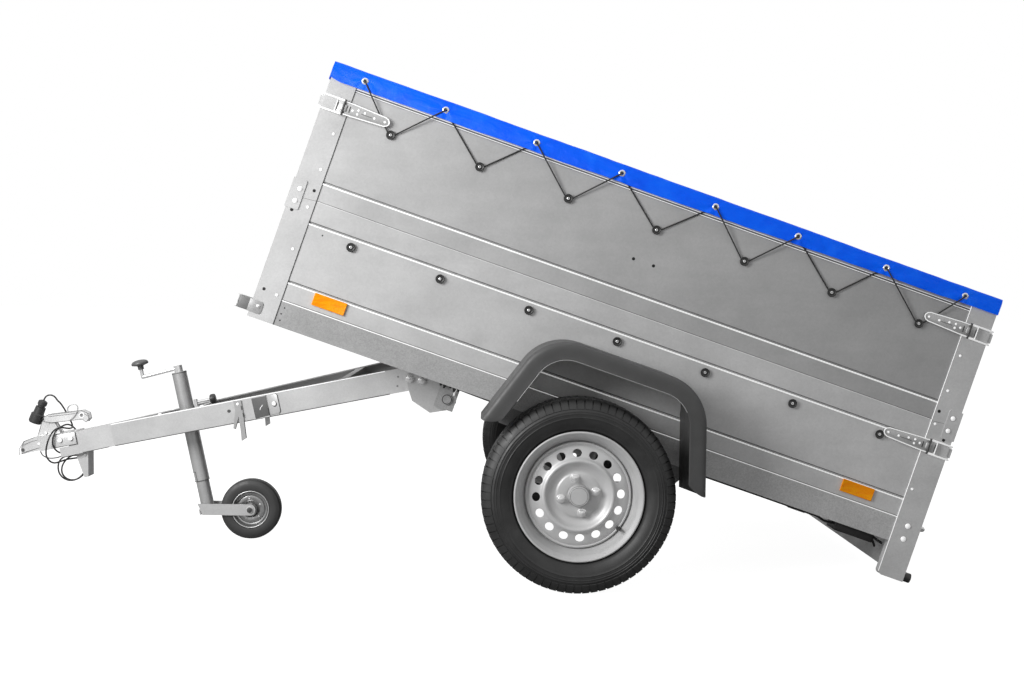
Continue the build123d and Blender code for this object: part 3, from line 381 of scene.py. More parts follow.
def rubberFinish():
    finish, tree, shader = newFinish("tyre_rubber")
    tree.links.new(mottle(tree, 0.010, 0.024, 18, 6, ends=(0.35, 0.75)), shader.inputs["Base Color"])
    tree.links.new(mottle(tree, 0.42, 0.56, 45), shader.inputs["Roughness"])
    emboss(tree, shader, grain(tree, 700, 3), 0.18)
    return finish


def tarpFinish():
    # A faint blue glow is painted light that brightens the cover beyond what the lamps give
    finish, tree, shader = newFinish("blue_tarp", Specular_IOR_Level=0.16, Emission_Color=(0, 0.10, 1, 1),
                                     Emission_Strength=0.14)
    blues = (0.25, (0, 0.095, 0.90)), (0.55, (0, 0.130, 1)), (0.8, (0.010, 0.175, 1))
    tone = ramp(tree, grain(tree, 16, 5), *blues)
    tree.links.new(tone, shader.inputs["Base Color"])
    tree.links.new(mottle(tree, 0.26, 0.46, 50), shader.inputs["Roughness"])
    # Woven scrim that shows faintly through the coating
    where = placeNode(tree, Rotation=(0, -bedTilt, 0))
    weave = addNode(tree, "Math")
    weave.operation = "ADD"
    for socket, way in enumerate("XY"):
        threads = addNode(tree, "TexWave", Scale=180)
        threads.bands_direction = way
        tree.links.new(where, threads.inputs["Vector"])
        tree.links.new(threads.outputs["Fac"], weave.inputs[socket])
    crease = addNode(tree, "Math")
    crease.operation = "MULTIPLY_ADD"
    crease.inputs[1].default_value = 6
    tree.links.new(grain(tree, 55, 6, rough=0.62), crease.inputs[0])
    tree.links.new(weave.outputs[0], crease.inputs[2])
    emboss(tree, shader, crease.outputs[0], 0.35, 0.0009)
    return finish


def lensFinish(name, deep, bright, ribs):
    finish, tree, shader = newFinish(name, Roughness=0.34, Specular_IOR_Level=0.22)
    cells = addNode(tree, "TexVoronoi", Scale=ribs)
    cells.distance = "MANHATTAN"
    tree.links.new(placeNode(tree, Rotation=(0, -bedTilt, 0)), cells.inputs["Vector"])
    patch = mottle(tree, deep, bright, 60, 3, (0.5, 1, 2.2), (0.35, 0.62))
    facet = ramp(tree, cells.outputs["Distance"], (0, bright), (0.5, deep))
    tree.links.new(mixColours(tree, "MIX", patch, facet, 0.25), shader.inputs["Base Color"])
    emboss(tree, shader, cells.outputs["Distance"], 0.5, 0.0008)
    return finish


def boardFinish():
    finish, tree, shader = newFinish("phenolic_floor", Roughness=0.5)
    rings = mottle(tree, (0.030, 0.018, 0.012), (0.065, 0.040, 0.026), 12, 6, (1, 9, 1))
    tree.links.new(rings, shader.inputs["Base Color"])
    emboss(tree, shader, grain(tree, 500, 2), 0.2)
    return finish


def wheelPaint():
    finish, tree, shader = newFinish("wheel_silver", Metallic=0.22, Coat_Weight=0.15, Coat_Roughness=0.25)
    tone = mixColours(tree, "MULTIPLY", mottle(tree, 0.52, 0.62, 1400, 1), mottle(tree, 0.88, 1, 20, 5), 0.8)
    tree.links.new(tone, shader.inputs["Base Color"])
    tree.links.new(mottle(tree, 0.40, 0.52, 30), shader.inputs["Roughness"])
    emboss(tree, shader, grain(tree, 350, 2), 0.08)
    return finish


# Name, darkest and lightest tone, crystals' share and scale, roughness, metallic, tone at the front and rear
# ends (painted light and shade), painted glow
zincs = {
    "panel": ("galvanised_panel", 0.59, 0.67, 0.45, 170, 0.44, 0.18, (0.84, 1)),
    # The upper panels have their own copy of the galvanised finish, painted darker towards the rear
    "upper": ("galvanised_upper_panel", 0.53, 0.60, 0.45, 170, 0.44, 0.18, (1, 0.74)),
    "post": ("galvanised_post", 0.60, 0.70, 0.45, 200, 0.42, 0.18, (0.80, 1)),
    "spangle": ("spangled_steel", 0.46, 0.68, 0.60, 330, 0.42, 0.22, (0.56, 1)),
    "dipped": ("dipped_steel", 0.49, 0.58, 0.45, 260, 0.40, 0.22),
    "cast": ("zinc_plate", 0.42, 0.54, 0.40, 300, 0.34, 0.40),
    # Painted highlight: near-white with a painted glow, for beads, edges, wires and heads that catch the
    # light
    "glint": ("bright_edge", 0.93, 0.99, 0.10, 300, 0.30, 0, (1, 1), 0.30),
    "pressed": ("pale_pressing", 0.66, 0.78, 0.30, 380, 0.30, 0.45),
    "tube": ("drawn_tube", 0.40, 0.50, 0.30, 300, 0.36, 0.45),
    "chrome": ("plated_rim", 0.30, 0.44, 0.30, 300, 0.24, 0.75),
    "pad": ("worn_rubber_pad", 0.085, 0.125, 0.30, 300, 0.60, 0),
    "bright": ("bright_zinc", 0.70, 0.82, 0.30, 420, 0.22, 0.55),
    "shade": ("shaded_steel", 0.045, 0.085, 0.30, 300, 0.60, 0.10),
    "dark": ("dull_steel", 0.16, 0.26, 0.40, 300, 0.50, 0.40),
}
# Name, tone, roughness, grain's scale, bumpiness
plastics = {
    "guard": ("guard_plastic", 0.058, 0.50, 700, 0.35),
    "black": ("black_plastic", 0.020, 0.45),
    "housing": ("lamp_housing", 0.16, 0.42),
    "knob": ("grey_plastic", 0.085, 0.40),
    "elastic": ("elastic_sleeve", 0.014, 0.65, 1500, 0.5),
    "lead": ("lead_sheath", 0.018, 0.38, 1200, 0.1),
    "jockeyRubber": ("solid_rubber", 0.032, 0.55, 900, 0.2),
    "hole": ("hole_shadow", 0.006, 0.8),
}
finishes = {key: zincCoat(*row) for key, row in zincs.items()}
finishes |= {key: plastic(*row) for key, row in plastics.items()}
finishes |= {
    "tyre": rubberFinish(),
    "wheel": wheelPaint(),
    "tarp": tarpFinish(),
    "board": boardFinish(),
    "amber": lensFinish("amber_lens", (0.96, 0.27, 0.0), (1.0, 0.40, 0.0), 240),
    "red": lensFinish("red_lens", (0.35, 0.004, 0.003), (0.70, 0.012, 0.008), 260),
    "white": lensFinish("clear_lens", (0.62, 0.62, 0.62), (0.90, 0.90, 0.90), 260),
}

# The nodes that keep their CAD shape, by finish
nodeFinish = {
    "panel": ("lower_sides", "front_gate", "rear_gate", "tailgate", "front_wall"),
    "upper": ("upper_sides",),
    "post": ("corner_posts",),
    "spangle": ("side_sills", "cross_members", "lamp_board", "bed_hinge_brackets"),
    "dipped": ("drawbar_arms", "drawbar_cross_bars", "support_leg", "jockey_fork", "jockey_clamp"),
    "tube": ("jockey_outer_tube", "jockey_inner_tube", "tilt_hooks"),
    "pressed": ("coupling_handle", "coupling_head"),
    "bright": ("jockey_crank",),
    "dark": ("axle_beam", "leaf_springs", "hub_left", "hub_right"),
    "black": ("rear_buffers", "trailer_plug"),
    "board": ("load_floor",),
}
for finish, names in nodeFinish.items():
    for name in names:
        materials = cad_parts[name].data.materials
        materials.clear()
        materials.append(finishes[finish])
lead.data.materials.append(finishes["lead"])
print("materials set")


# Modelling helpers
def clearSelection():
    if bpy.context.object and bpy.context.object.mode == "EDIT":
        bpy.ops.object.mode_set(mode="OBJECT")
    bpy.ops.object.select_all(action="DESELECT")


def selectPiece(piece):
    clearSelection()
    piece.select_set(True)
    bpy.context.view_layer.objects.active = piece


def moved(piece, place):
    piece.data.transform(place)
    return piece


def startProfile(name, points):
    # One vertex is drawn on along the points, and edit mode stays on
    clearSelection()
    bpy.ops.mesh.primitive_plane_add(size=0.01, location=points[0])
    piece = bpy.context.object
    piece.name = name
    bpy.ops.object.mode_set(mode="EDIT")
    bpy.ops.mesh.select_all(action="SELECT")
    bpy.ops.mesh.merge(type="CENTER")
    for here, there in zip(points, points[1:]):
        step = Vector(there) - Vector(here)
        bpy.ops.mesh.extrude_vertices_move(TRANSFORM_OT_translate={"value": step})
    bpy.ops.mesh.select_all(action="SELECT")
    return piece


def closeForm():
    bpy.ops.mesh.select_all(action="SELECT")
    bpy.ops.mesh.remove_doubles(threshold=0.00002)
    bpy.ops.mesh.normals_make_consistent(inside=False)
    bpy.ops.object.mode_set(mode="OBJECT")
    bpy.ops.object.transform_apply(location=True, rotation=True, scale=True)


def lathe(name, section, steps=64, axis="Y"):
    # Section is (radius, along) and is turned about an axis through the origin
    onY = axis == "Y"
    piece = startProfile(name, [(r, w, 0) if onY else (r, 0, w) for r, w in section])
    about = (0, 1, 0) if onY else (0, 0, 1)
    bpy.ops.mesh.spin(steps=steps, angle=math.tau, center=(0, 0, 0), axis=about)
    closeForm()
    return piece


def cutPlate(name, outline, thickness, direction=(0, -1, 0)):
    # Outline is filled and pulled out along a direction
    piece = startProfile(name, outline)
    bpy.ops.mesh.edge_face_add()
    bpy.ops.mesh.extrude_region_move(TRANSFORM_OT_translate={"value": Vector(direction) * thickness})
    closeForm()
    return piece


def applyModifiers(piece):
    selectPiece(piece)
    for modifier in list(piece.modifiers):
        bpy.ops.object.modifier_apply(modifier=modifier.name)


def softenEdges(piece, width, segments=2, angle=35):
    bevel = piece.modifiers.new("bevel", "BEVEL")
    bevel.width = width
    bevel.segments = segments
    bevel.limit_method = "ANGLE"
    bevel.angle_limit = math.radians(angle)
    applyModifiers(piece)
    return piece


def copyPiece(piece, place):
    twin = piece.copy()
    twin.data = piece.data.copy()
    bpy.context.scene.collection.objects.link(twin)
    twin.data.transform(place)
    twin.data.update()
    if place.determinant() < 0:
        twin.data.flip_normals()
    return twin


def copyParts(parts, places):
    # The parts at each place, in the originals' stead
    twins = [copyPiece(part, place) for place in places for part in parts]
    for part in parts:
        bpy.data.objects.remove(part)
    return twins


def joinPieces(name, pieces):
    clearSelection()
    for piece in pieces:
        piece.select_set(True)
    bpy.context.view_layer.objects.active = pieces[0]
    if len(pieces) > 1:
        bpy.ops.object.join()
    whole = bpy.context.object
    whole.name = name
    return whole


def finishPiece(name, parts, finish, body="bed", pair=True, angle=35):
    # Parts become one piece, which a pair has on both sides
    piece = joinPieces(name, parts)
    if pair:
        piece = joinPieces(name, [piece, copyPiece(piece, mirrored)])
    piece.data.transform(homes[body])
    if homes[body].determinant() < 0:
        piece.data.flip_normals()
    piece.data.update()
    piece.data.materials.clear()
    piece.data.materials.append(finishes[finish])
    selectPiece(piece)
    bpy.ops.object.shade_smooth_by_angle(angle=math.radians(angle))
    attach(piece, body)
    return piece


def tube(points, radius, resolution=3, smooth=True):
    # Round wire along points, as a mesh
    curve = bpy.data.curves.new("wire", "CURVE")
    curve.dimensions = "3D"
    curve.bevel_depth = radius
    curve.bevel_resolution = resolution
    curve.use_fill_caps = True
    spline = curve.splines.new("NURBS" if smooth else "POLY")
    spline.points.add(len(points) - 1)
    for point, place in zip(spline.points, points):
        point.co = (*place, 1)
    if smooth:
        spline.order_u = 3
        spline.use_endpoint_u = True
        spline.resolution_u = 8
    wire = bpy.data.objects.new("wire", curve)
    bpy.context.scene.collection.objects.link(wire)
    selectPiece(wire)
    bpy.ops.object.convert(target="MESH")
    return bpy.context.object


def runLine(points, radius, resolution=3):
    return tube(points, radius, resolution, smooth=False)


def circle(radius, steps):
    turns = [k * math.tau / steps for k in range(steps + 1)]
    return [(radius * math.cos(turn), radius * math.sin(turn)) for turn in turns]


def onSides(points, out=trailer["halfPanel"]):
    # Both sides of the bed at each u and v, the head of what is placed there pointing out
    places = [at(u, -out, v) for u, v in points]
    return [side @ place for place in places for side in (Matrix(), mirrored)]


def onArms(parts, a):
    # Parts drawn at their own a and b are set against the two arms at that a
    slope = trailer["armSlope"]
    y = trailer["armNose"] + (a - trailer["armBend"]) * slope
    near = at(a, -y, 0) @ Matrix.Rotation(-math.atan(slope), 4, "Z") @ at(-a, 0, 0)
    return copyParts(parts, (near, mirrored @ near))


def placeCopies(name, part, places, finish):
    return finishPiece(name, copyParts([part], places), finish, pair=False)


def roundedBlock(name, low, high, radius, segments=2):
    clearSelection()
    bpy.ops.mesh.primitive_cube_add(size=1)
    block = bpy.context.object
    block.name = name
    low, high = Vector(low), Vector(high)
    moved(block, Matrix.Translation((low + high) / 2) @ Matrix.Diagonal((*(high - low), 1)))
    return softenEdges(block, radius, segments, 30)


def cylinder(sides, radius, depth, place):
    clearSelection()
    bpy.ops.mesh.primitive_cylinder_add(vertices=sides, radius=radius, depth=depth)
    return moved(bpy.context.object, place)


# Fasteners, with their heads towards -y
def blindRivet(radius=0.0045):
    k = radius / 0.0045
    section = mm((0, -0.4), (1.3, -0.5), (1.5, -1.8), (2.8, -1.7), (4, -1), (4.5, 0), (0, 0))
    return lathe("rivet", [(r * k, w) for r, w in section], 16)


def domeBolt(radius, height):
    k, h = radius / 0.008, height / 0.0052
    section = mm((0, -5.2), (3, -5), (5.8, -3.6), (7.2, -1.4), (7.8, -1), (8, 0), (0, 0))
    return lathe("bolt", [(r * k, w * h) for r, w in section], 24)


def hexBolt(across, height, washer):
    base = -0.0014
    top = base - height
    rim = [(0, base), (washer - 0.0006, base), (washer, -0.0009), (washer, 0), (0, 0)]
    tip = [(0, top - 0.0018), (0.0026, top - 0.0016), (0.0034, top), (0, top)]
    head = cylinder(6, across * 0.577, height, at(0, base - height / 2, 0) @ turned(90, "X"))
    parts = [lathe("washer", rim, 28), softenEdges(head, 0.0008), lathe("end", tip, 16)]
    return joinPieces("hex_bolt", parts)


def holeMark(radius):
    return lathe("hole_mark", [(0, -0.0002), (radius, -0.0002), (radius, 0.0001), (0, 0.0001)], 24)


# Road wheels, turned about Y with the outside at negative y
roadWheel = {
    "steps": 128,
    "blocks": 72,
    "tyre": mm((169, 54), (174, 57.5), (183.5, 59), (185, 61.2), (187.2, 62.5), (188.5, 64), (191.5, 64.5),
               (195, 66.8), (201, 70.6), (208, 73.7), (215, 75.7), (220, 76.6), (221, 77.4), (222.2, 77.4),
               (223.2, 76.7), (230, 76.8), (230.9, 77.5), (232, 77.5), (232.9, 76.6), (236.2, 76.2),
               (237.1, 76.8), (238.2, 76.7), (239, 75.7), (243, 74.5), (248, 72.2), (254, 69), (260, 64.5),
               (264.5, 59), (266.5, 53), (267.2, 44)),
    "tyreMiddle": (0.2675, 0.0),
    "tyreInside": (0.171, 0.048),
    "shoulder": mm((272.5, 41.5), (271.8, 52), (269.5, 58.5), (265, 64), (258, 69.5), (250, 73.8),
                   (245.5, 75.3), (244, 73.8), (260, 63), (265.5, 55), (265.5, 41.5)),
    "rib": mm((273.2, 16.5), (272.9, 36), (265.5, 37), (265.5, 15.5)),
    "centre": mm((273.5, -11), (273.5, 11), (265.5, 11.8), (265.5, -11.8)),
    "barrel": mm((182.5, 65), (181.5, 67.2), (179.2, 68), (176.8, 67.2), (174.8, 64.5), (172.8, 61.8),
                 (170.5, 59), (168.2, 56), (166.2, 52.5), (164.5, 48.5), (162.8, 44), (160.8, 39.5),
                 (158.5, 34.5), (156, 29), (153, 23), (150, 18), (148, 12), (147.5, -15), (152, -24),
                 (158, -32), (162, -44), (166, -56), (172, -64), (179, -68), (182.5, -66.5)),
    "barrelWall": 0.0032,
    "barrelRear": mm((182.8, -64), (174.5, -61)),
    "barrelFront": mm((176, 60.5), (180, 65)),
    "disc": mm((150, 22), (149.6, 26.2), (147.8, 29), (145, 30), (142.5, 28.4), (140.5, 30), (137, 32.5),
               (130, 34.6), (119, 37.2), (111, 39.2), (106.5, 41.2), (103.5, 44.6), (100.5, 47.5),
               (97.5, 48.6), (94, 47.8), (90, 44), (85, 38.8), (79, 34.5), (72, 32.2), (66, 31.6),
               (63.5, 32.4), (61.2, 34.5), (59, 35.2), (40, 35.2), (35, 34.5), (30, 32.5)),
    "discWall": 0.0034,
    "vents": 16,
    "ventShift": 0.11,
    "ventCircle": 0.119,
    "ventRadius": (0.0112, 0.0128),
    "bolts": 4,
    "boltCircle": 0.050,
    "boltTurn": 78,
    "boltSeat": mm((0, -34), (13.5, -34.5), (13, -37.5), (11.2, -38.5), (0, -38.5)),
    "boltTip": mm((0, -47), (5.2, -47), (5, -48.2), (3.2, -49), (0, -49)),
    "cap": mm((29.6, -30), (31, -34), (30, -36), (29.6, -56), (29, -59), (27.2, -60.4), (25.2, -60.6),
              (24.6, -60.1), (24, -60.1), (23.4, -60.7), (12, -61.2), (0, -61.3), (0, -60.3), (23, -60.1),
              (28, -58), (29.1, -35), (29.1, -30), (29.6, -30)),
    "capLine": mm((24, -60.2), (24.7, -60.2), (24.7, -60.45), (24, -60.45), (24, -60.2)),
    "valve": mm((0, 0), (5.8, 0), (5.6, -6), (4.2, -10), (3.6, -24), (4.2, -26), (4.3, -35), (3.4, -37),
                (0, -37)),
    "valveReach": 0.148,
    "valveTurn": 39,
}


def ringOf(section, wide, skew=0.0):
    # Tread block, with its (radius, along) outline given a width, repeated round the wheel
    count = roadWheel["blocks"]
    piece = cutPlate("block", [(-wide / 2 + skew * w, w, r) for r, w in section], wide, (1, 0, 0))
    selectPiece(piece)
    bpy.ops.object.mode_set(mode="EDIT")
    bpy.ops.mesh.select_all(action="SELECT")
    turn = math.tau * (count - 1) / count
    bpy.ops.mesh.spin(steps=count - 1, angle=turn, dupli=True, center=(0, 0, 0), axis=(0, 1, 0))
    bpy.ops.object.mode_set(mode="OBJECT")
    return piece


def makeTyre():
    w = roadWheel
    side, (r, y) = w["tyre"], w["tyreInside"]
    section = [(r, -y) for r, y in side] + [w["tyreMiddle"]] + side[::-1]
    section += [(r, y), (r, -y), (side[0][0], -side[0][1])]
    pieces = [lathe("tyre_near", section, w["steps"])]
    pitch = math.tau * trailer["tyreRadius"] / w["blocks"]
    for way in (1, -1):
        pieces.append(ringOf([(r, way * y) for r, y in w["shoulder"]], pitch * 0.82))
        pieces.append(ringOf([(r, way * y) for r, y in w["rib"]], pitch * 0.90, 0.35 * way))
    pieces.append(ringOf(w["centre"], pitch * 0.94, -0.25))
    return pieces


def makeRim():
    w = roadWheel
    front, face = w["barrel"], w["disc"]
    back = [(r + w["barrelWall"], y) for r, y in front[5:-4]][::-1]
    section = front + w["barrelRear"] + back + w["barrelFront"] + front[:1]
    barrel = lathe("barrel", [(r, -y) for r, y in section], w["steps"])
    section = face + [(r, y - w["discWall"]) for r, y in face][::-1] + face[:1]
    disc = lathe("disc", [(r, -y) for r, y in section], w["steps"])
    holes = []
    for k in range(w["vents"]):
        turn = Matrix.Rotation(math.tau * (k - w["ventShift"]) / w["vents"], 4, "Y")
        place = turn @ at(w["ventCircle"], 0, 0) @ turned(90, "X") @ Matrix.Diagonal((*w["ventRadius"], 1, 1))
        holes.append(cylinder(28, 1, 0.2, place))
    cutter = joinPieces("vents", holes)
    cut = disc.modifiers.new("vents", "BOOLEAN")
    cut.operation = "DIFFERENCE"
    cut.solver = "EXACT"
    cut.object = cutter
    applyModifiers(disc)
    bpy.data.objects.remove(cutter)
    return [barrel, softenEdges(disc, 0.0007, 2, 50)]


def wheelBolts():
    w = roadWheel
    head = cylinder(6, 0.0098, 0.0100, at(0, -0.0425, 0) @ turned(90, "X"))
    parts = [lathe("seat", w["boltSeat"], 28), softenEdges(head, 0.0011, 3), lathe("tip", w["boltTip"], 20)]
    turns = [w["boltTurn"] + k * 360 / w["bolts"] for k in range(w["bolts"])]
    return copyParts(parts, [turned(turn, "Y") @ at(w["boltCircle"], 0, 0) for turn in turns])


def valveStem():
    w = roadWheel
    place = turned(w["valveTurn"], "Y") @ at(w["valveReach"], -0.026, 0) @ turned(-14, "Z")
    return [moved(lathe("valve", w["valve"], 20), place)]


def makeRoadWheels():
    for name, parts, finish, slot, node in (
        ("tyre", makeTyre(), "tyre", "tyre", "tyre_"),
        ("rim", makeRim(), "wheel", "silver_paint", "rim_"),
        ("bolts", wheelBolts(), "bright", "zinc", None),
        ("cap", [lathe("cap", roadWheel["cap"])], "wheel", "silver_paint", None),
        ("line", [lathe("line", roadWheel["capLine"])], "black", "black_plastic", None),
        ("valve", valveStem(), "black", "black_plastic", None),
    ):
        near = joinPieces(name, parts)
        for piece, place, side in ((near, "near", "left"), (copyPiece(near, Matrix()), "far", "right")):
            piece = finishPiece(f"{name}_{place}", [piece], finish, f"wheel_{side}", False)
            if node:
                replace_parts(piece, node + side)


makeRoadWheels()
print("road wheels made")

# Tarpaulin, with its skirts, eyelets and elastic
tarp = {
    "front": -1.064,
    "rear": 1.0045,
    "half": 0.5950,
    "top": 0.7758,
    "hem": 0.7238,
    "rearHem": 0.7295,
    "edgeRadius": 0.006,
    "thickness": 0.0008,
    "stepAlong": 300,
    "stepAcross": 70,
    "stepSkirt": 16,
    "stepEdge": 3,
    "eyelets": (-0.964, -0.718, -0.439, -0.176, 0.114, 0.371, 0.646, 0.894),
    "eyeletHeight": 0.750,
    "eyeletRing": mm((4.2, 0), (4.6, -1.4), (6.2, -2.6), (8.2, -2.4), (10, -1), (10.2, 0), (4.2, 0)),
    "eyeletWell": mm((0, -0.3), (4.5, -0.3), (4.5, -0.1), (0, -0.1)),
    "buttons": [-0.844 + k * 0.27260 for k in range(7)],
    "buttonHeights": (0.629, 0.285),
    "buttonBody": mm((0, 0), (9, 0), (9.2, -1.2), (6.2, -2), (5.8, -5), (11.2, -5.6), (13, -6.6),
                     (13.4, -7.6), (12.6, -8.6), (11.2, -8.8), (9.6, -7.8), (7.8, -7.6), (6.8, -8.6),
                     (5.6, -8.8), (5, -7.8), (0, -7.8)),
    "buttonRivet": mm((0, -6.8), (1.2, -7), (1.4, -8.6), (2.8, -8.8), (4, -8.2), (4.4, -7.4), (0, -7.2)),
    "elastic": 0.0021,
    "elasticOutside": 0.6025,
    "elasticBehind": 0.5925,
    "elasticHeld": 0.5945,
    "elasticTurn": 0.0078,
}


def ripple(u, v, seed):
    return 1 + noise.noise((u, v, seed))


def share(value):
    return max(0.0, min(1.0, value))


def creases(u, v):
    # How far the skirt stands proud, from folds that run out of each eyelet
    proud = 0.0
    for k, eye in enumerate(tarp["eyelets"]):
        du, dv = u - eye, v - tarp["eyeletHeight"]
        away = math.hypot(du, dv)
        if away < 0.17:
            turn = math.atan2(dv, du)
            fold = 0.5 + 0.5 * math.cos(turn * 5 + 2.3 * k + 9 * noise.noise((u * 4, v * 4, k)))
            proud += 0.0046 * math.exp(-away / 0.050) * fold * min(1, away / 0.012)
    return proud


def hemHeight(u):
    rise = (tarp["rearHem"] - tarp["hem"]) * share((u + 0.1) / 1.1)
    low = tarp["hem"] + rise + 0.006 * max(0.0, (-1.03 - u) / 0.034)
    return low + 0.0022 * noise.noise((u * 7, 3.1, 0)) + 0.0010 * noise.noise((u * 25, 8.1, 0))


def skirtProud(u, v, seed):
    loose = min(1.0, (tarp["top"] - v) / 0.03)
    wave = 0.0016 * ripple(u * 9, v * 22, seed) + 0.0008 * ripple(u * 40, v * 90, seed + 4)
    return loose * (wave + creases(u, v)) + 0.0006


def gridSheet(name, cellsX, cellsY):
    clearSelection()
    bpy.ops.mesh.primitive_grid_add(x_subdivisions=cellsX, y_subdivisions=cellsY, size=2)
    sheet = bpy.context.object
    sheet.name = name
    return sheet


def thicken(sheet, thickness):
    wall = sheet.modifiers.new("wall", "SOLIDIFY")
    wall.thickness = thickness
    wall.offset = -1
    applyModifiers(sheet)


def coverPlace(x, y):
    # Place on the cover for x and y from -1 to 1 on a flat grid
    t = tarp
    radius, side = t["edgeRadius"], -1 if y < 0 else 1
    u = t["front"] + (x + 1) / 2 * (t["rear"] - t["front"])
    fromHem = (1 - abs(y)) / 2
    skirt = t["stepSkirt"] / (t["stepAcross"] + 2 * t["stepSkirt"])
    if fromHem < skirt:
        up, low = fromHem / skirt, hemHeight(u)
        v = low + up * (t["top"] - radius - low)
        # The front corner is pulled out a little
        corner = 0.003 * max(0.0, 1 - (u - t["front"]) / 0.05) * (1 - up)
        return u, side * (t["half"] + skirtProud(u, v, 3 if side < 0 else 20) + corner), v
    cell = (fromHem - skirt) / (0.5 - skirt) * t["stepAcross"] / 2
    turn = min(1.0, cell / t["stepEdge"]) * math.pi / 2
    flat = max(0.0, (cell - t["stepEdge"]) / (t["stepAcross"] / 2 - t["stepEdge"]))
    out = (t["half"] - radius) * (1 - flat) if flat else t["half"] + 0.0006 + radius * (math.cos(turn) - 1)
    wave = 0.0014 * ripple(u * 6, side * out * 6, 1) + 0.0007 * ripple(u * 22, side * out * 22, 5)
    return u, side * out, t["top"] + radius * (math.sin(turn) - 1) + wave * math.sin(turn)


def makeTarpCover():
    sheet = gridSheet("tarp_cover", tarp["stepAlong"], tarp["stepAcross"] + 2 * tarp["stepSkirt"])
    for vertex in sheet.data.vertices:
        vertex.co = coverPlace(vertex.co.x, vertex.co.y)
    thicken(sheet, tarp["thickness"])
    sheet = finishPiece("tarp_cover", [sheet], "tarp", pair=False, angle=60)
    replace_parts(sheet, "tarp_top", "tarp_side_skirts")


def makeEndSkirt(name, node, outward):
    sheet = gridSheet(name, 150, tarp["stepSkirt"])
    end = tarp["front"] if outward < 0 else tarp["rear"]
    low = tarp["hem"] if outward < 0 else tarp["rearHem"]
    for vertex in sheet.data.vertices:
        y, up = vertex.co.x * tarp["half"], (vertex.co.y + 1) / 2
        hem = low + 0.0018 * noise.noise((y * 8, 4.4, outward))
        v = hem + up * (tarp["top"] + 0.0002 - hem)
        wave = 0.0007 * ripple(y * 10, v * 24, 7) + 0.0004 * ripple(y * 42, v * 80, 9)
        vertex.co = (end + outward * (min(1.0, (1 - up) * 3) * wave - 0.0004), y, v)
    if outward > 0:
        sheet.data.flip_normals()
    thicken(sheet, tarp["thickness"])
    sheet = finishPiece(name, [sheet], "tarp", pair=False, angle=60)
    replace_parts(sheet, node)
    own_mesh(sheet)


def makeEyelets():
    height = tarp["eyeletHeight"]
    places = []
    for side in (Matrix(), mirrored):
        for u in tarp["eyelets"]:
            places.append(side @ at(u, -tarp["half"] - skirtProud(u, height, 3) - 0.0006, height))
    placeCopies("eyelets", lathe("ring", tarp["eyeletRing"], 28), places, "bright")
    placeCopies("eyelet_holes", lathe("well", tarp["eyeletWell"], 20), places, "hole")


def makeButtons():
    places = onSides([(u, v) for v in tarp["buttonHeights"] for u in tarp["buttons"]])
    body = lathe("button", tarp["buttonBody"], 32)
    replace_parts(placeCopies("button_bodies", body, places, "black"), "tarp_buttons")
    placeCopies("button_rivets", lathe("rivet", tarp["buttonRivet"], 20), places, "bright")


def makeElastic():
    t = tarp
    eyes, top, height = t["eyelets"], t["eyeletHeight"], t["buttonHeights"][0]
    outside, behind, held, turn = t["elasticOutside"], t["elasticBehind"], t["elasticHeld"], t["elasticTurn"]
    hem = t["hem"] - 0.003
    reach = (top - hem) / (top - height)
    path = [(eyes[0], behind, top), (eyes[0], outside, top)]
    for k, u in enumerate(t["buttons"]):
        first, last = eyes[k], eyes[k + 1]
        over = k % 2 == 0
        layer = outside if over else behind
        if not over:
            # Behind the skirt the line steps sideways a little
            path.append((first + 0.006, behind, top - 0.012))
        path.append((first + (u - turn - first) * reach, layer, hem))
        half = [(turn, 0.001), (turn - 0.0022, -0.0052)]
        under = [(-du, dv) for du, dv in half] + [(0, -turn)] + half[::-1]
        path += [(u + du, held, height + dv) for du, dv in under]
        path.append((last + (u + turn - last) * reach, layer, hem))
        ends = [(last, outside, top), (last, behind, top - 0.004)]
        path += ends if over else ends[::-1]
    line = runLine([(u, -y, v) for u, y, v in path], t["elastic"], 4)
    finishPiece("elastic", [line], "elastic")


makeTarpCover()
makeEndSkirt("front_skirt", "tarp_front_skirt", -1)
makeEndSkirt("rear_skirt", "tarp_rear_skirt", 1)
makeEyelets()
makeButtons()
makeElastic()
print("tarpaulin made")

# Mudguards: a top band and a lip, swept along an arch above each wheel
guard = {
    "foot": (0.331, -0.040),
    "shoulder": (0.235, 0.246),
    "bend": 0.145,
    "bendSteps": 18,
    "thickness": 0.0034,
    "section": mm((590.5, 0), (640, 0), (700, 0), (760, 0), (774, 0), (779.5, 1), (784.2, 3.6),
                  (787.5, 7.8), (789, 15), (789.3, 24), (789.3, 33), (789.3, 42), (789.6, 45.5),
                  (789.8, 47.5), (789.2, 49.4), (787.6, 50), (785.8, 49.4)),
    "lip": 0.050,
    "footCut": 0.034,
    "innerFlap": 0.044,
    "bolts": mm((276, 64), (-276, 64), (120, 236), (-120, 236)),
}


def archPath():
    # Half of the arch as (u, v, outward angle), from the middle of the top to the foot
    (footU, footV), (shoulderU, shoulderV) = guard["foot"], guard["shoulder"]
    bend, steps = guard["bend"], guard["bendSteps"]
    lean = math.atan2(footU - shoulderU, shoulderV - footV)
    turn = math.pi / 2 - lean
    flat = shoulderU - bend * math.tan(turn / 2)
    path = [(flat * k / 4, shoulderV, math.pi / 2) for k in range(4)]
    for k in range(steps + 1):
        angle = math.pi / 2 - turn * k / steps
        path.append((flat + bend * math.cos(angle), shoulderV - bend + bend * math.sin(angle), angle))
    u, v = path[-1][:2]
    return path + [(u + (footU - u) * k / 10, v + (footV - v) * k / 10, lean) for k in range(1, 11)]


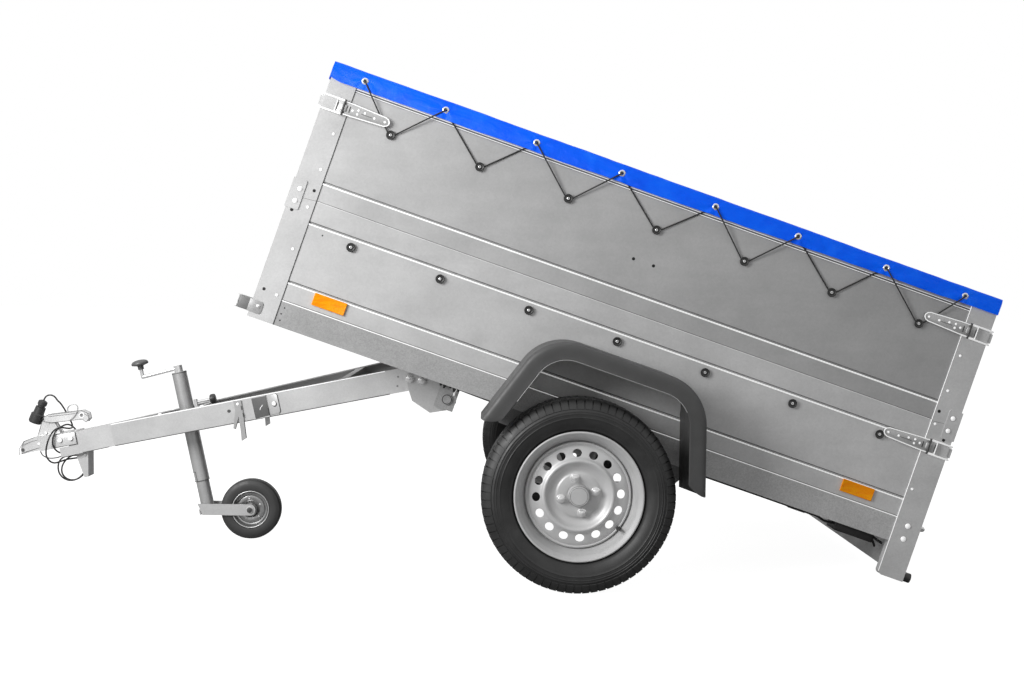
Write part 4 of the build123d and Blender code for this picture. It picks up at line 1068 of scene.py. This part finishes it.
def makeMudguards():
    half = archPath()
    whole = [(-u, v, math.pi - angle) for u, v, angle in half[:0:-1]] + half
    section = guard["section"]
    rows, columns = len(whole) - 1, len(section) - 1
    sheet = gridSheet("mudguards_pair", rows, columns)
    for vertex in sheet.data.vertices:
        row = round((vertex.co.x + 1) / 2 * rows)
        u, v, angle = whole[row]
        y, drop = section[round((vertex.co.y + 1) / 2 * columns)]
        # The lip is cut back towards the foot in a curve
        nearFoot = max(0, 1 - min(row, rows - row) / 3)
        rise = guard["footCut"] * (drop / guard["lip"]) ** 1.8 * nearFoot
        if u > 0 and y < 0.76:
            # Behind the wheel the band closes in towards the panel
            drop = guard["innerFlap"] * share((math.pi / 2 - angle) / 1.1) * (0.76 - y) / 0.17
        across = drop * math.cos(angle) + (1 if u > 0 else -1) * math.sin(angle) * rise
        vertex.co = (u - across, -y, v - drop * math.sin(angle) + abs(math.cos(angle)) * rise)
    sheet.data.flip_normals()
    thicken(sheet, guard["thickness"])
    softenEdges(sheet, 0.0007, 2, 50)
    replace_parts(finishPiece("mudguards_pair", [sheet], "guard", angle=50), "mudguards")
    # Painted highlight: a fine pale line on the moulding's inner edge
    lip = guard["lip"] - 0.0003
    rim = [(u - lip * math.cos(angle), -0.7899, v - lip * math.sin(angle)) for u, v, angle in whole[5:-16]]
    finishPiece("guard_edge_highlight", [runLine(rim, 0.0009)], "cast")
    placeCopies("guard_bolts", domeBolt(0.0072, 0.0052), onSides(guard["bolts"], 0.6080), "bright")


makeMudguards()
print("mudguards made")

# Lamps: rear clusters, front markers on their brackets, and amber side reflectors
lamps = {
    "rearLow": (0.9794, 0.392, -0.080),
    "rearHigh": (1.0000, 0.552, -0.013),
    "rearShares": (("amber", 0.0, 0.36), ("red", 0.36, 0.78), ("white", 0.78, 1.0)),
    "rearTray": 0.0075,
    "rearRim": 0.004,
    "triangle": mm((0, 40), (-34.5, -20), (34.5, -20)),
    "triangleAt": (1.0029, 0.300, 0.032),
    "markerLow": (-1.107, 0.546, 0.0145),
    "markerHigh": (-1.0655, 0.593, 0.0515),
    "markerLens": 0.0095,
    "markerPlate": (-1.0670, -1.0310, -1.0255),
    "markerScrew": (-1.039, 0.036),
    "reflectorStarts": (-0.897, 0.736),
    "reflectorLow": 0.091,
    "reflectorSize": (0.098, 0.037),
    "reflectorFaces": (0.5968, 0.5898),
}


def makeRearLamps():
    (u0, y0, v0), (u1, y1, v1) = lamps["rearLow"], lamps["rearHigh"]
    tray, rim = u0 + lamps["rearTray"], lamps["rearRim"]
    start, wide = rim - y1, y1 - y0 - 2 * rim
    block = roundedBlock("tray", (u0, -y1, v0), (tray, -y0, v1), 0.0030, 3)
    finishPiece("rear_lamp_tray", [block], "black")
    for finish, first, last in lamps["rearShares"]:
        low = (tray - 0.0005, start + wide * first, v0 + rim)
        high = (u1, start + wide * last - 0.0006, v1 - rim)
        lens = roundedBlock("lens", low, high, 0.0040, 4)
        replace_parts(finishPiece(f"rear_lens_{finish}", [lens], finish), "lamps")
    screws = [at(u1 - 0.0002, side * y, (v0 + v1) / 2) @ turned(90, "Z")
              for y in (y0 + 0.012, y1 - 0.012) for side in (-1, 1)]
    placeCopies("rear_lamp_screws", domeBolt(0.0038, 0.0016), screws, "bright")


def makeTriangles():
    # Red triangles beside the lamps
    u, y, v = lamps["triangleAt"]
    outline = [(u, across, v + up) for across, up in lamps["triangle"]]
    plate = softenEdges(cutPlate("triangle", outline, 0.0050, (1, 0, 0)), 0.0022, 3)
    placeCopies("rear_triangles", plate, (at(0, -y, 0), at(0, y, 0)), "red")


def makeMarkers():
    (u0, y0, v0), (u1, y1, v1) = lamps["markerLow"], lamps["markerHigh"]
    split = u0 + lamps["markerLens"]
    lens = roundedBlock("lens", (u0, -y1, v0), (split + 0.0004, -y0, v1), 0.0036, 4)
    finishPiece("marker_lens", [lens], "white")
    low, high = (split, 0.0004 - y1, v0 + 0.0004), (u1, -y0 - 0.0004, v1 - 0.0004)
    finishPiece("marker_body", [roundedBlock("body", low, high, 0.0026, 3)], "housing")
    first, cut, last = lamps["markerPlate"]
    foot, out = v0 - 0.0002, trailer["halfPost"] + 0.0002
    outline = [(first, foot), (first, v1), (cut, v1), (last, v1 - 0.006), (last, v0 + 0.006), (cut, foot)]
    plate = softenEdges(cutPlate("plate", [(u, -out, v) for u, v in outline], 0.0018), 0.0006)
    finishPiece("marker_plate", [plate], "spangle")
    screws = onSides([lamps["markerScrew"]], out + 0.0018)
    placeCopies("marker_screws", domeBolt(0.0060, 0.0034), screws, "bright")


def makeReflectors():
    (wide, tall), v = lamps["reflectorSize"], lamps["reflectorLow"]
    outer, inner = lamps["reflectorFaces"]
    pieces = []
    for u in lamps["reflectorStarts"]:
        lens = roundedBlock("reflector", (u, -outer, v), (u + wide, -inner, v + tall), 0.0016)
        # A flat field inside a narrow rim
        selectPiece(lens)
        bpy.ops.object.mode_set(mode="EDIT")
        bpy.ops.mesh.select_all(action="DESELECT")
        bpy.ops.object.mode_set(mode="OBJECT")
        max(lens.data.polygons, key=lambda polygon: polygon.area - polygon.center.y).select = True
        bpy.ops.object.mode_set(mode="EDIT")
        bpy.ops.mesh.select_mode(type="FACE")
        bpy.ops.mesh.inset(thickness=0.0028, depth=-0.0009)
        bpy.ops.mesh.select_mode(type="VERT")
        bpy.ops.object.mode_set(mode="OBJECT")
        pieces.append(lens)
    finishPiece("side_reflectors", pieces, "amber")


makeRearLamps()
makeTriangles()
makeMarkers()
makeReflectors()
print("lamps made")

# Rivets, bolts and holes on the bed, and painted highlight and shade lines along its pressed lines, where
# lips and shades are (height, radius)
bedTrim = {
    "rivets": mm((-1000, 577), (-1000, 468), (-1000, 353), (-1000, 225), (-1000, 84), (941, 581),
                 (941, 472), (938, 368), (938, 165)),
    "plateBolts": mm((-1038, 396), (-1040, 359), (982, 400), (980, 361)),
    "plateFace": 0.5949,
    "footBolts": ((0.963, 0.058), (0.963, 0.018)),
    "postHoles": mm((-998, 404), (-1040, 89), (-1041, 331), (937, 407), (978, 331)),
    "panelHoles": ((-0.061, 0.528), (0.001, 0.528)),
    "smallHoles": mm((-933, 290), (-966, 56), (-970, 37), (-967, 18)),
    "knob": (1.0040, 0.575, 0.062),
    "lips": mm((127.8, 2.1), (308.5, 2.4), (430.5, 2.5), (714.5, 1), (721.5, 1), (74, 1.5), (376.8, 0.8)),
    "shades": mm((135.2, 1), (316, 1), (438, 0.8), (378.6, 0.7), (718, 1.3), (76.8, 0.7)),
    "panelEnds": (-0.982, 0.924),
    "postTop": 0.770,
    "postFoot": -0.094,
    "joints": ((-1.022, -0.9832), (0.9252, 0.962)),
    "jointHeights": (0.3735, 0.3775),
}


def makeBedFasteners():
    post = trailer["halfPost"]
    rivets = onSides(bedTrim["rivets"], post)
    plates = onSides(bedTrim["plateBolts"], bedTrim["plateFace"])
    feet = onSides(bedTrim["footBolts"], post)
    holes = onSides(bedTrim["postHoles"], post) + onSides(bedTrim["panelHoles"])
    u, y, v = bedTrim["knob"]
    knobs = [at(u, side * y, v) @ turned(90, "Z") for side in (-1, 1)]
    # The rings under rivets and bolts are painted shade round their heads, a darker tone than the post, and
    # the heads take the glint finish, a painted highlight
    for name, part, places, finish, slot in (
        ("rivet_shade_rings", holeMark(0.0054), rivets, "cast", "galvanised"),
        ("bolt_shade_rings", holeMark(0.0094), plates + feet, "cast", "galvanised"),
        ("post_rivets", blindRivet(), rivets, "glint", "zinc"),
        ("pivot_bolts", domeBolt(0.0072, 0.0046), plates, "glint", "zinc"),
        ("foot_bolts", domeBolt(0.0082, 0.0050), feet, "glint", "zinc"),
        ("post_holes", holeMark(0.0048), holes, "hole", "black_plastic"),
        ("small_holes", holeMark(0.0022), onSides(bedTrim["smallHoles"]), "hole", "black_plastic"),
        ("rear_knobs", domeBolt(0.0100, 0.0160), knobs, "bright", "zinc"),
    ):
        placeCopies(name, part, places, finish)


def makePaintedEdgeLines():
    # Painted highlight: a near-white line along the lower lip of each pressed line and the rear post's front
    # edge. Painted shade: a dark line along each upper lip and the front post's rear edge.
    first, last = bedTrim["panelEnds"]
    top = bedTrim["postTop"]
    for name, rows, finish, out, u, post, foot, wide in (
        ("painted_highlight_lips", "lips", "glint", 0.5893, last + 0.0006, 0.5916, bedTrim["postFoot"], 0.0012),
        ("painted_shade_lines", "shades", "shade", 0.5898, first - 0.0002, 0.5913, 0.0, 0.0010),
    ):
        lines = [runLine([(first, -out, v), (last, -out, v)], radius) for v, radius in bedTrim[rows]]
        lines.append(runLine([(u, -post, foot), (u, -post, top)], wide))
        finishPiece(name, lines, finish, angle=60)


def makeSeamLine():
    # The upper post is a separate length: its joint shows as a thin dark line
    low, high = bedTrim["jointHeights"]
    out = trailer["halfPost"] + 0.0001
    cuts = [runLine([(first, -out, low), (last, -out, high)], 0.0005, 2) for first, last in bedTrim["joints"]]
    finishPiece("post_joints", cuts, "dark")


# Latches, drawn with x running in from the end of the bed, and placed by (end, height, way in)
latch = {
    "places": ((-1.061, 0.658, 1), (1.003, 0.658, -1), (1.003, 0.300, -1)),
    "half": 0.018,
    "tip": 0.013,
    "pitch": 0.0205,
    "wire": 0.0026,
    "face": 0.598,
    "axle": (0.064, 0.6030),
    "slots": ((0.0810, 0.0840, -0.0090, 0.0090, 0.0032, 0.0004),
              (0.0440, 0.0465, -0.0110, 0.0110, 0.0032, 0.0004),
              (0.1180, 0.1520, -0.0018, -0.0004, 0.0030, 0.0003)),
    "studs": mm((92, 0), (108, 6), (108, -6), (128, 4.5), (158, 0), (190, 0)),
}


def makeLatches():
    half, tip, wing, face = (latch[key] for key in ("half", "tip", "pitch", "face"))
    lower = [(0.042, -half), (0.094, -half), (0.190, -tip), (0.1985, -tip * 0.72), (0.203, -tip * 0.25)]
    outline = lower + [(x, -z) for x, z in lower[::-1]]
    plate = softenEdges(cutPlate("floor", [(x, -face - 0.0005, z) for x, z in outline], 0.0018), 0.0005)
    seat = roundedBlock("seat", (0.048, -face - 0.0003, 0.001 - half), (0.080, -0.5921, half - 0.001), 0.0012)
    hump = roundedBlock("hump", (0.056, -face - 0.0062, -0.010), (0.074, -face - 0.001, 0.010), 0.0024, 3)
    rim = runLine([(x, -face - 0.0040, z) for x, z in outline + outline[:1]], 0.0016)
    x, out = latch["axle"]
    wire = [(x, -out, -wing), (0.010, -0.5990, -wing), (-0.004, -0.5965, -wing), (-0.0068, -0.5930, -wing),
            (-0.0070, -0.5800, -wing * 0.96)]
    loop = tube(wire + [(x, y, -z) for x, y, z in wire[::-1]], latch["wire"], 4)
    edge = half + 0.001
    foot = ((0.047, -edge), (0.082, -edge), (0.082, edge), (0.047, edge))
    base = runLine([(x, -0.5925, z) for x, z in foot], 0.0010)
    darks = [runLine([(x, -out, -wing - 0.003), (x, -out, wing + 0.003)], 0.0033, 4)]
    for x0, x1, z0, z1, proud, radius in latch["slots"]:
        darks.append(roundedBlock("slot", (x0, -face - proud, z0), (x1, -face - 0.001, z1), radius))
    studs = copyParts([blindRivet(0.0036)], [at(x, -face - 0.0022, z) for x, z in latch["studs"]])
    places = [at(end, 0, v) @ Matrix.Scale(inward, 4, (1, 0, 0)) for end, v, inward in latch["places"]]
    # The wires and rivets take the glint finish, a painted highlight; the shadows are painted shade
    for name, parts, finish in (
        ("latch_levers", [plate, seat, hump], "cast"),
        ("latch_wires", [rim, loop, base], "glint"),
        ("latch_shadows", darks, "shade"),
        ("latch_rivets", studs, "glint"),
    ):
        piece = finishPiece(name, copyParts(parts, places), finish)
        if finish != "shade":
            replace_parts(piece, "latches")


makeBedFasteners()
makePaintedEdgeLines()
makeSeamLine()
makeLatches()
print("bed trim made")

# Coupling, its lever and what is fixed to the drawbar's nose
coupling = {
    "plate": mm((-1303, 125), (-1239, 122), (-1240, 81), (-1314, 84)),
    "plateBolts": ((-1.291, 0.104), (-1.256, 0.103)),
    "plateFace": 0.0508,
    "plateWall": 0.0024,
    "nose": mm((-1437.8, 81.5), (-1434, 103), (-1414, 124.8), (-1374, 130.8), (-1300, 127)),
    "bracket": mm((-1374, 129), (-1349.5, 175.5), (-1313, 175.5), (-1295, 127)),
    "lever": mm((-1340, 188.5), (-1322, 193.8), (-1212, 183.8), (-1196, 171.5), (-1195.5, 152.5),
                (-1207, 143.5), (-1216.5, 155.5), (-1318, 165.5), (-1340, 173.5)),
    "lowerFold": mm((-1434, 85), (-1410, 90), (-1370, 93), (-1320, 90.5)),
    "upperFold": mm((-1423, 112), (-1390, 119), (-1360, 120)),
    "lip": mm((-1437, 82.3), (-1380, 82.5), (-1340, 82.3)),
    "dome": mm((0, -34.5), (6, -34), (12, -33), (13.5, -31), (0, -31)),
    "ball": (-1.356, 0.106),
    "studs": ((-1.344, 0.136, 0.0134), (-1.367, 0.106, 0.0345)),
    "eye": (-1.216, 0.169),
    "eyeRadius": 0.0078,
    "lockWire": mm((-1262, -4, 190), (-1258, -16, 203), (-1243, -19, 211), (-1226, -19, 209),
                   (-1221, -19, 198), (-1227, -19.5, 184), (-1240, -19.5, 170), (-1252, -19.5, 163),
                   (-1262, -12, 160)),
    "noseLine": mm((-1372, -20, 80), (-1370, -22, 70), (-1363, -24, 62), (-1352, -27, 54.5),
                   (-1335, -31, 50), (-1311, -34, 49), (-1290, -36, 53)),
}


def barLine(places, out, radius):
    return runLine([(a, -out, b) for a, b in places], radius)


def makeCoupling():
    c = coupling
    face, wall, bolts, plate, lever = c["plateFace"], c["plateWall"], c["plateBolts"], c["plate"], c["lever"]
    side = cutPlate("side_plate", [(a, wall - face, b) for a, b in plate], wall)
    dome = moved(lathe("ball_dome", c["dome"], 24), at(c["ball"][0], 0, c["ball"][1]))
    finishPiece("coupling_plates", [softenEdges(side, 0.0007), dome], "pressed", "drawbar")
    # Painted shade: dark outlines along the plate, nose, bracket, lever and folds, and dark rings set a
    # little below the bolts and studs as painted shadows; the slot and hole are dark marks
    shades = [barLine(*row) for row in (
        (plate + plate[:1], face - 0.0002, 0.0011),
        (c["nose"], 0.0330, 0.0008),
        (c["bracket"], 0.0132, 0.0009),
        (lever + lever[:1], 0.0170, 0.0009),
        ([(a - 0.0025, b - 0.0065) for a, b in lever[1:4]], 0.0171, 0.0007),
        (c["lowerFold"], 0.0340, 0.0008),
        (c["upperFold"], 0.0340, 0.0006),
    )]
    rings = [(a, b, face + 0.0006, 0.0078) for a, b in bolts] + [(*stud, 0.0052) for stud in c["studs"]]
    for a, b, out, radius in rings:
        shades.append(moved(holeMark(radius), at(a + 0.0008, 0.0004 - out, b - 0.0012)))
    shades.append(roundedBlock("slot", (-1.3520, -0.0352, 0.1060), (-1.3380, -0.0338, 0.1120), 0.0006))
    shades.append(moved(holeMark(0.0058), at(-1.424, -0.0303, 0.097)))
    finishPiece("coupling_shade_lines", shades, "shade", "drawbar")
    # Painted highlight: the bolts, studs, the eye's rim and the nose's lip take the glint finish
    glints = copyParts([hexBolt(0.0125, 0.0052, 0.0068)], [at(a, -face - 0.0002, b) for a, b in bolts])
    glints += copyParts([domeBolt(0.0042, 0.0030)], [at(a, -out, b) for a, b, out in c["studs"]])
    eye = [(c["eye"][0] + a, c["eye"][1] + b) for a, b in circle(c["eyeRadius"], 20)]
    glints += [barLine(eye, 0.0173, 0.0014), barLine(c["lip"], 0.0332, 0.0013)]
    finishPiece("coupling_bolts", glints, "glint", "drawbar")
    # Pale locking wire through the eye, and the thin brake-away line under the nose
    finishPiece("lock_wire", [tube(c["lockWire"], 0.0019, 4)], "cast", "drawbar", False)
    finishPiece("nose_line", [tube(c["noseLine"], 0.0018, 4)], "lead", "drawbar", False)


makeCoupling()
print("coupling made")

# Jockey wheel, its crank and clamp
jockey = {
    "rim": mm((62.5, 22.5), (61, 24), (58.5, 23.5), (56.5, 19), (55, 12), (52, 8.5), (48, 7.5), (45.5, 10),
              (44, 12.5), (42.5, 13), (30, 12.5), (27, 11), (25.5, 6), (24, 5.5), (22.5, 8), (21.5, 23),
              (20.5, 24), (16.5, 24), (16, 20), (6.3, 20)),
    "rimEnd": mm((6.3, -20)),
    "tyre": mm((62, 20), (64, 23.8), (69, 24.8), (78, 25), (85, 24.4), (88.5, 23.2), (90, 22.2),
               (93, 21.6), (96.2, 19.6), (98.5, 16), (99.6, 11), (100, 5)),
    "tyreEnd": mm((62, 19), (62, -19), (62, -20)),
    "bolts": 5,
    "boltCircle": 0.034,
    "boltShift": 0.2,
    "bead": 0.0606,
    "tubeEnd": -0.127,
    "tubeTop": 0.2395,
    "tubeRadius": 0.0243,
    "washer": mm((0, -36.6), (11.8, -36.6), (12.4, -36), (12.4, -35), (0, -35)),
    "crank": mm((0, 0), (9.5, 0), (10, 2), (9.2, 8), (11, 12.5), (20, 14.5), (26.5, 16.5), (28, 19.5),
                (27.2, 24), (23, 28.5), (15, 31.5), (6, 32.8), (0, 33)),
    "clamp": mm((7, 0), (12.5, 1.5), (15.5, 4), (16.2, 8), (16, 15), (14.5, 18.5), (10, 19.8), (0, 20),
                (0, 1), (7, 0)),
}


def makeJockeyWheel():
    j = jockey
    for name, steps, finish, slot in (("rim", 72, "chrome", "zinc"), ("tyre", 96, "jockeyRubber", "rubber")):
        section = [(r, -w) for r, w in j[name]] + j[name][::-1] + j[f"{name}End"]
        wheel = [lathe(name, section, steps)]
        piece = finishPiece(f"jockey_{name}_turned", wheel, finish, "jockey_wheel", False)
        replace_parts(piece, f"jockey_{name}")
    turns = [math.tau * (k + j["boltShift"]) / j["bolts"] for k in range(j["bolts"])]
    reach = j["boltCircle"]
    places = [at(reach * math.cos(turn), -0.0126, reach * math.sin(turn)) for turn in turns]
    studs = copyParts([domeBolt(0.0040, 0.0028)], places) + [barLine(circle(j["bead"], 48), 0.0236, 0.0011)]
    finishPiece("jockey_studs", studs, "pressed", "jockey_wheel")


def makeTubeEnd():
    # Painted shade: dark rings at both ends of the outer tube, and a dark line along the slot's edge at its
    # foot
    a, end = trailer["jockeyTube"], jockey["tubeEnd"]
    ring = circle(jockey["tubeRadius"], 40)
    lines = [runLine([(a + x, y, b) for x, y in ring], 0.0009) for b in (end, jockey["tubeTop"])]
    edge = [(-0.0120, -0.0212, 0.0), (-0.0120, -0.0212, 0.032), (-0.0215, -0.0118, 0.032)]
    lines.append(runLine([(a + x, y, end + up) for x, y, up in edge], 0.0010))
    finishPiece("tube_shade_lines", lines, "shade", "drawbar", False)


def makeAxleNuts():
    washer = lathe("washer", jockey["washer"], 32)
    finishPiece("axle_washer", [washer], "pressed", "jockey_fork")
    nut = moved(hexBolt(0.0165, 0.0048, 0.0080), at(0, -0.0365, 0))
    finishPiece("hex_bolt", [nut], "shade", "jockey_fork")


def makeKnobs():
    # Crank knob, then the clamp's knob along the drawbar
    crank, clamp = at(-0.997, 0, 0.277), at(-0.795, 0, 0.132) @ turned(90, "Y")
    for name, steps, finish, slot, place in (
        ("crank", 40, "knob", "grey_plastic", crank),
        ("clamp", 32, "black", "black_plastic", clamp),
    ):
        knob = moved(lathe(name, jockey[name], steps, "Z"), place)
        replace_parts(finishPiece(f"{name}_knob_turned", [knob], finish, "drawbar", False), "crank_knob")


makeJockeyWheel()
makeTubeEnd()
makeAxleNuts()
makeKnobs()
print("jockey wheel made")

# Fittings along the drawbar's arms
armPlaces = {
    "pad": mm((-613, 116), (-562, 116), (-561, 54), (-612.5, 50)),
    "padAt": -0.588,
    "plate": mm((-562, 116.5), (-529, 116.5), (-524, 112), (-524, 60), (-530, 53.5), (-562, 53.5)),
    "plateAt": -0.543,
    "plateBolt": (-0.541, 0.087),
    "hookBolt": (-0.660, 0.107),
    "hole": (-0.697, 0.090),
    "dots": ((-0.650, 0.093), (-0.649, 0.070)),
    "dents": ((-0.130, 0.097), (-0.138, 0.070)),
    "tailBolts": ((-0.097, 0.084), (-0.062, 0.071)),
    "tailFace": 0.432,
    "topBolts": (-0.950, -0.798),
    "legBolt": (-1.2280, -0.0302, 0.0390),
    "scratch": mm((-590, -5, 76), (-586, -5, 84), (-581, -5, 85), (-578, -5, 90)),
    "scratchAt": -0.585,
    "ends": (-1.118, -0.105),
    "noseEnds": (-1.228, -1.140),
}


def makeArmFittings():
    c, bend, ends = armPlaces, trailer["armBend"], armPlaces["ends"]
    pad = softenEdges(cutPlate("pad", [(a, 0, b) for a, b in c["pad"]], 0.0052), 0.0008)
    finishPiece("rest_pads", onArms([pad], c["padAt"]), "pad", "drawbar", False)
    plate = softenEdges(cutPlate("plate", [(a, 0, b) for a, b in c["plate"]], 0.0022), 0.0006)
    finishPiece("pad_plates", onArms([plate], c["plateAt"]), "dipped", "drawbar", False)
    # Painted shade: dark lines along the arms' lower edge and round the pad plate, and a dark ring set a
    # little below the plate's bolt; the hole and dots are dark marks
    low = barLine([(a, 0.0490) for a in c["noseEnds"]], trailer["armNose"] + 0.0002, 0.0012)
    shades = [low, copyPiece(low, mirrored)]
    shades += onArms([barLine(c["plate"][1:5], 0.0018, 0.0009)], c["plateAt"])
    a, b = c["hole"]
    shades += onArms([moved(holeMark(0.0052), at(a, 0, b) @ Matrix.Diagonal((1.3, 1, 1, 1)))], a)
    for a, b in c["dots"]:
        low, high = (a - 0.0016, -0.0060, b - 0.0070), (a + 0.0016, -0.0050, b + 0.0070)
        shades += onArms([roundedBlock("dot", low, high, 0.0003)], a)
    a, b = c["plateBolt"]
    shades += onArms([moved(holeMark(0.0088), at(a + 0.0015, -0.0022, b - 0.0018))], a)
    shades += onArms([barLine([(a, 0.0486) for a in ends], 0.0003, 0.0014)], bend)
    finishPiece("arm_marks", shades, "shade", "drawbar", False)
    # Painted highlight: the bolts, a scratch and a line along the arms' top edge take the glint finish
    glints = []
    for (a, b), out, radius in ((c["plateBolt"], 0.0022, 0.0072), (c["hookBolt"], 0.0050, 0.0048)):
        glints += onArms([moved(domeBolt(radius, 0.0042), at(a, -out, b))], a)
    for a in c["topBolts"]:
        glints += onArms([moved(domeBolt(0.0065, 0.0045), at(a, 0.020, 0.1205) @ turned(-90, "X"))], a)
    glints += onArms([tube(c["scratch"], 0.0011, 2)], c["scratchAt"])
    glints += onArms([barLine([(a, 0.1196) for a in ends], 0.0002, 0.0013)], bend)
    finishPiece("arm_bolts", glints, "glint", "drawbar", False)
    dents = copyParts([holeMark(0.0030)], [at(a, -c["tailFace"] - 0.0004, b) for a, b in c["dents"]])
    finishPiece("arm_dents", dents, "dark", "drawbar")
    places = [at(a, -c["tailFace"], b) for a, b in c["tailBolts"]]
    tails = copyParts([hexBolt(0.0190, 0.0080, 0.0135)], places)
    finishPiece("tail_bolts", tails, "bright", "drawbar")
    finishPiece("bolt", [moved(domeBolt(0.0055, 0.0040), at(*c["legBolt"]))], "bright", "drawbar")


makeArmFittings()
print("arm fittings made")

# Under the bed: a ring, clip and wires at the hinge, spring clamps, and the wiring with its junction box
underside = {
    "boss": mm((12.5, -447.8), (13, -449), (14.5, -449), (15, -447.8), (12.5, -447.8)),
    "clip": mm((-420, -448, -6), (-420.5, -450, -16), (-422.5, -450.5, -25), (-420.5, -450, -33)),
    "loomSteps": mm((0, 0), (12, -4), (30, 2), (44, -6), (56, 0)),
    "springY": 0.562,
    "clampAt": (-0.034, 0.034),
    "clampLeg": 0.030,
    "clampTop": (-0.118, -0.110),
    "box": ((0.780, -0.520, -0.030), (0.905, -0.440, -0.002)),
    "tails": (((0.905, -0.500, -0.010), (0.932, -0.520, -0.020)),
              ((0.905, -0.480, -0.016), (0.932, -0.470, -0.040)),
              ((0.780, -0.500, -0.012), (0.720, -0.530, -0.006))),
    "rearLoom": mm((720, -530, -6), (600, -548, -4), (300, -552, -4.5), (-100, -551, -4), (-380, -550, -4),
                   (-440, -470, -6)),
}


def makeHingeZone():
    boss = lathe("boss", underside["boss"], 32)
    moved(boss, at(-trailer["pivotAhead"], 0, -trailer["pivotBelow"]))
    finishPiece("boss_ring", [boss], "shade")
    # The clip takes the glint finish, a painted highlight
    finishPiece("clip", [tube(underside["clip"], 0.0026, 4)], "glint", pair=False)
    loom = []
    for k, (du, dv) in enumerate(underside["loomSteps"]):
        first, last = (-0.4730 + du, -0.452 + 0.002 * k, 0.0), (-0.4640 + du, -0.452, 0.002)
        drop = [(-0.4715 + du, -0.455, -0.0140 + dv), (-0.4680 + du, -0.455, -0.0180 + dv)]
        loom.append(tube([first, *drop, last], 0.0022))
    finishPiece("hinge_loom", loom, "lead", pair=False)


def makeSpringClamps():
    y, low, leg = -underside["springY"], -trailer["axleBelowSill"] - 0.022, underside["clampLeg"]
    shoulder, top = underside["clampTop"]
    half = [(leg, low - 0.012), (leg, shoulder), (leg - 0.004, top)]
    bow = [(-out, v) for out, v in half] + half[::-1]
    clamps = []
    for u in underside["clampAt"]:
        clamps.append(runLine([(u, y + out, v) for out, v in bow], 0.0045, 4))
        nuts = [at(u, y + out, low) @ turned(90, "X") for out in (-leg, leg)]
        clamps += copyParts([hexBolt(0.0150, 0.0080, 0.0100)], nuts)
    finishPiece("u_bolts", clamps, "tube")
    plate = roundedBlock("plate", (-0.048, y - 0.040, low), (0.048, y + 0.040, low + 0.005), 0.0015)
    finishPiece("clamp_plate", [plate], "dark")


def makeWiring():
    low, high = underside["box"]
    first = (low[0] + 0.006, low[1] - 0.003, low[2] + 0.004)
    last = (high[0] - 0.006, low[1] + 0.001, high[2] - 0.004)
    pieces = [roundedBlock("box", low, high, 0.0040, 3), roundedBlock("lid", first, last, 0.0012)]
    for start, end in underside["tails"]:
        middle = ((start[0] + end[0]) / 2, start[1], start[2] - 0.008)
        pieces.append(tube([start, middle, end], 0.0036, 4))
    finishPiece("junction_box", pieces, "black", pair=False)
    finishPiece("rear_loom", [tube(underside["rearLoom"], 0.0038, 4)], "lead", pair=False)


makeHingeZone()
makeSpringClamps()
makeWiring()
print("underside made")
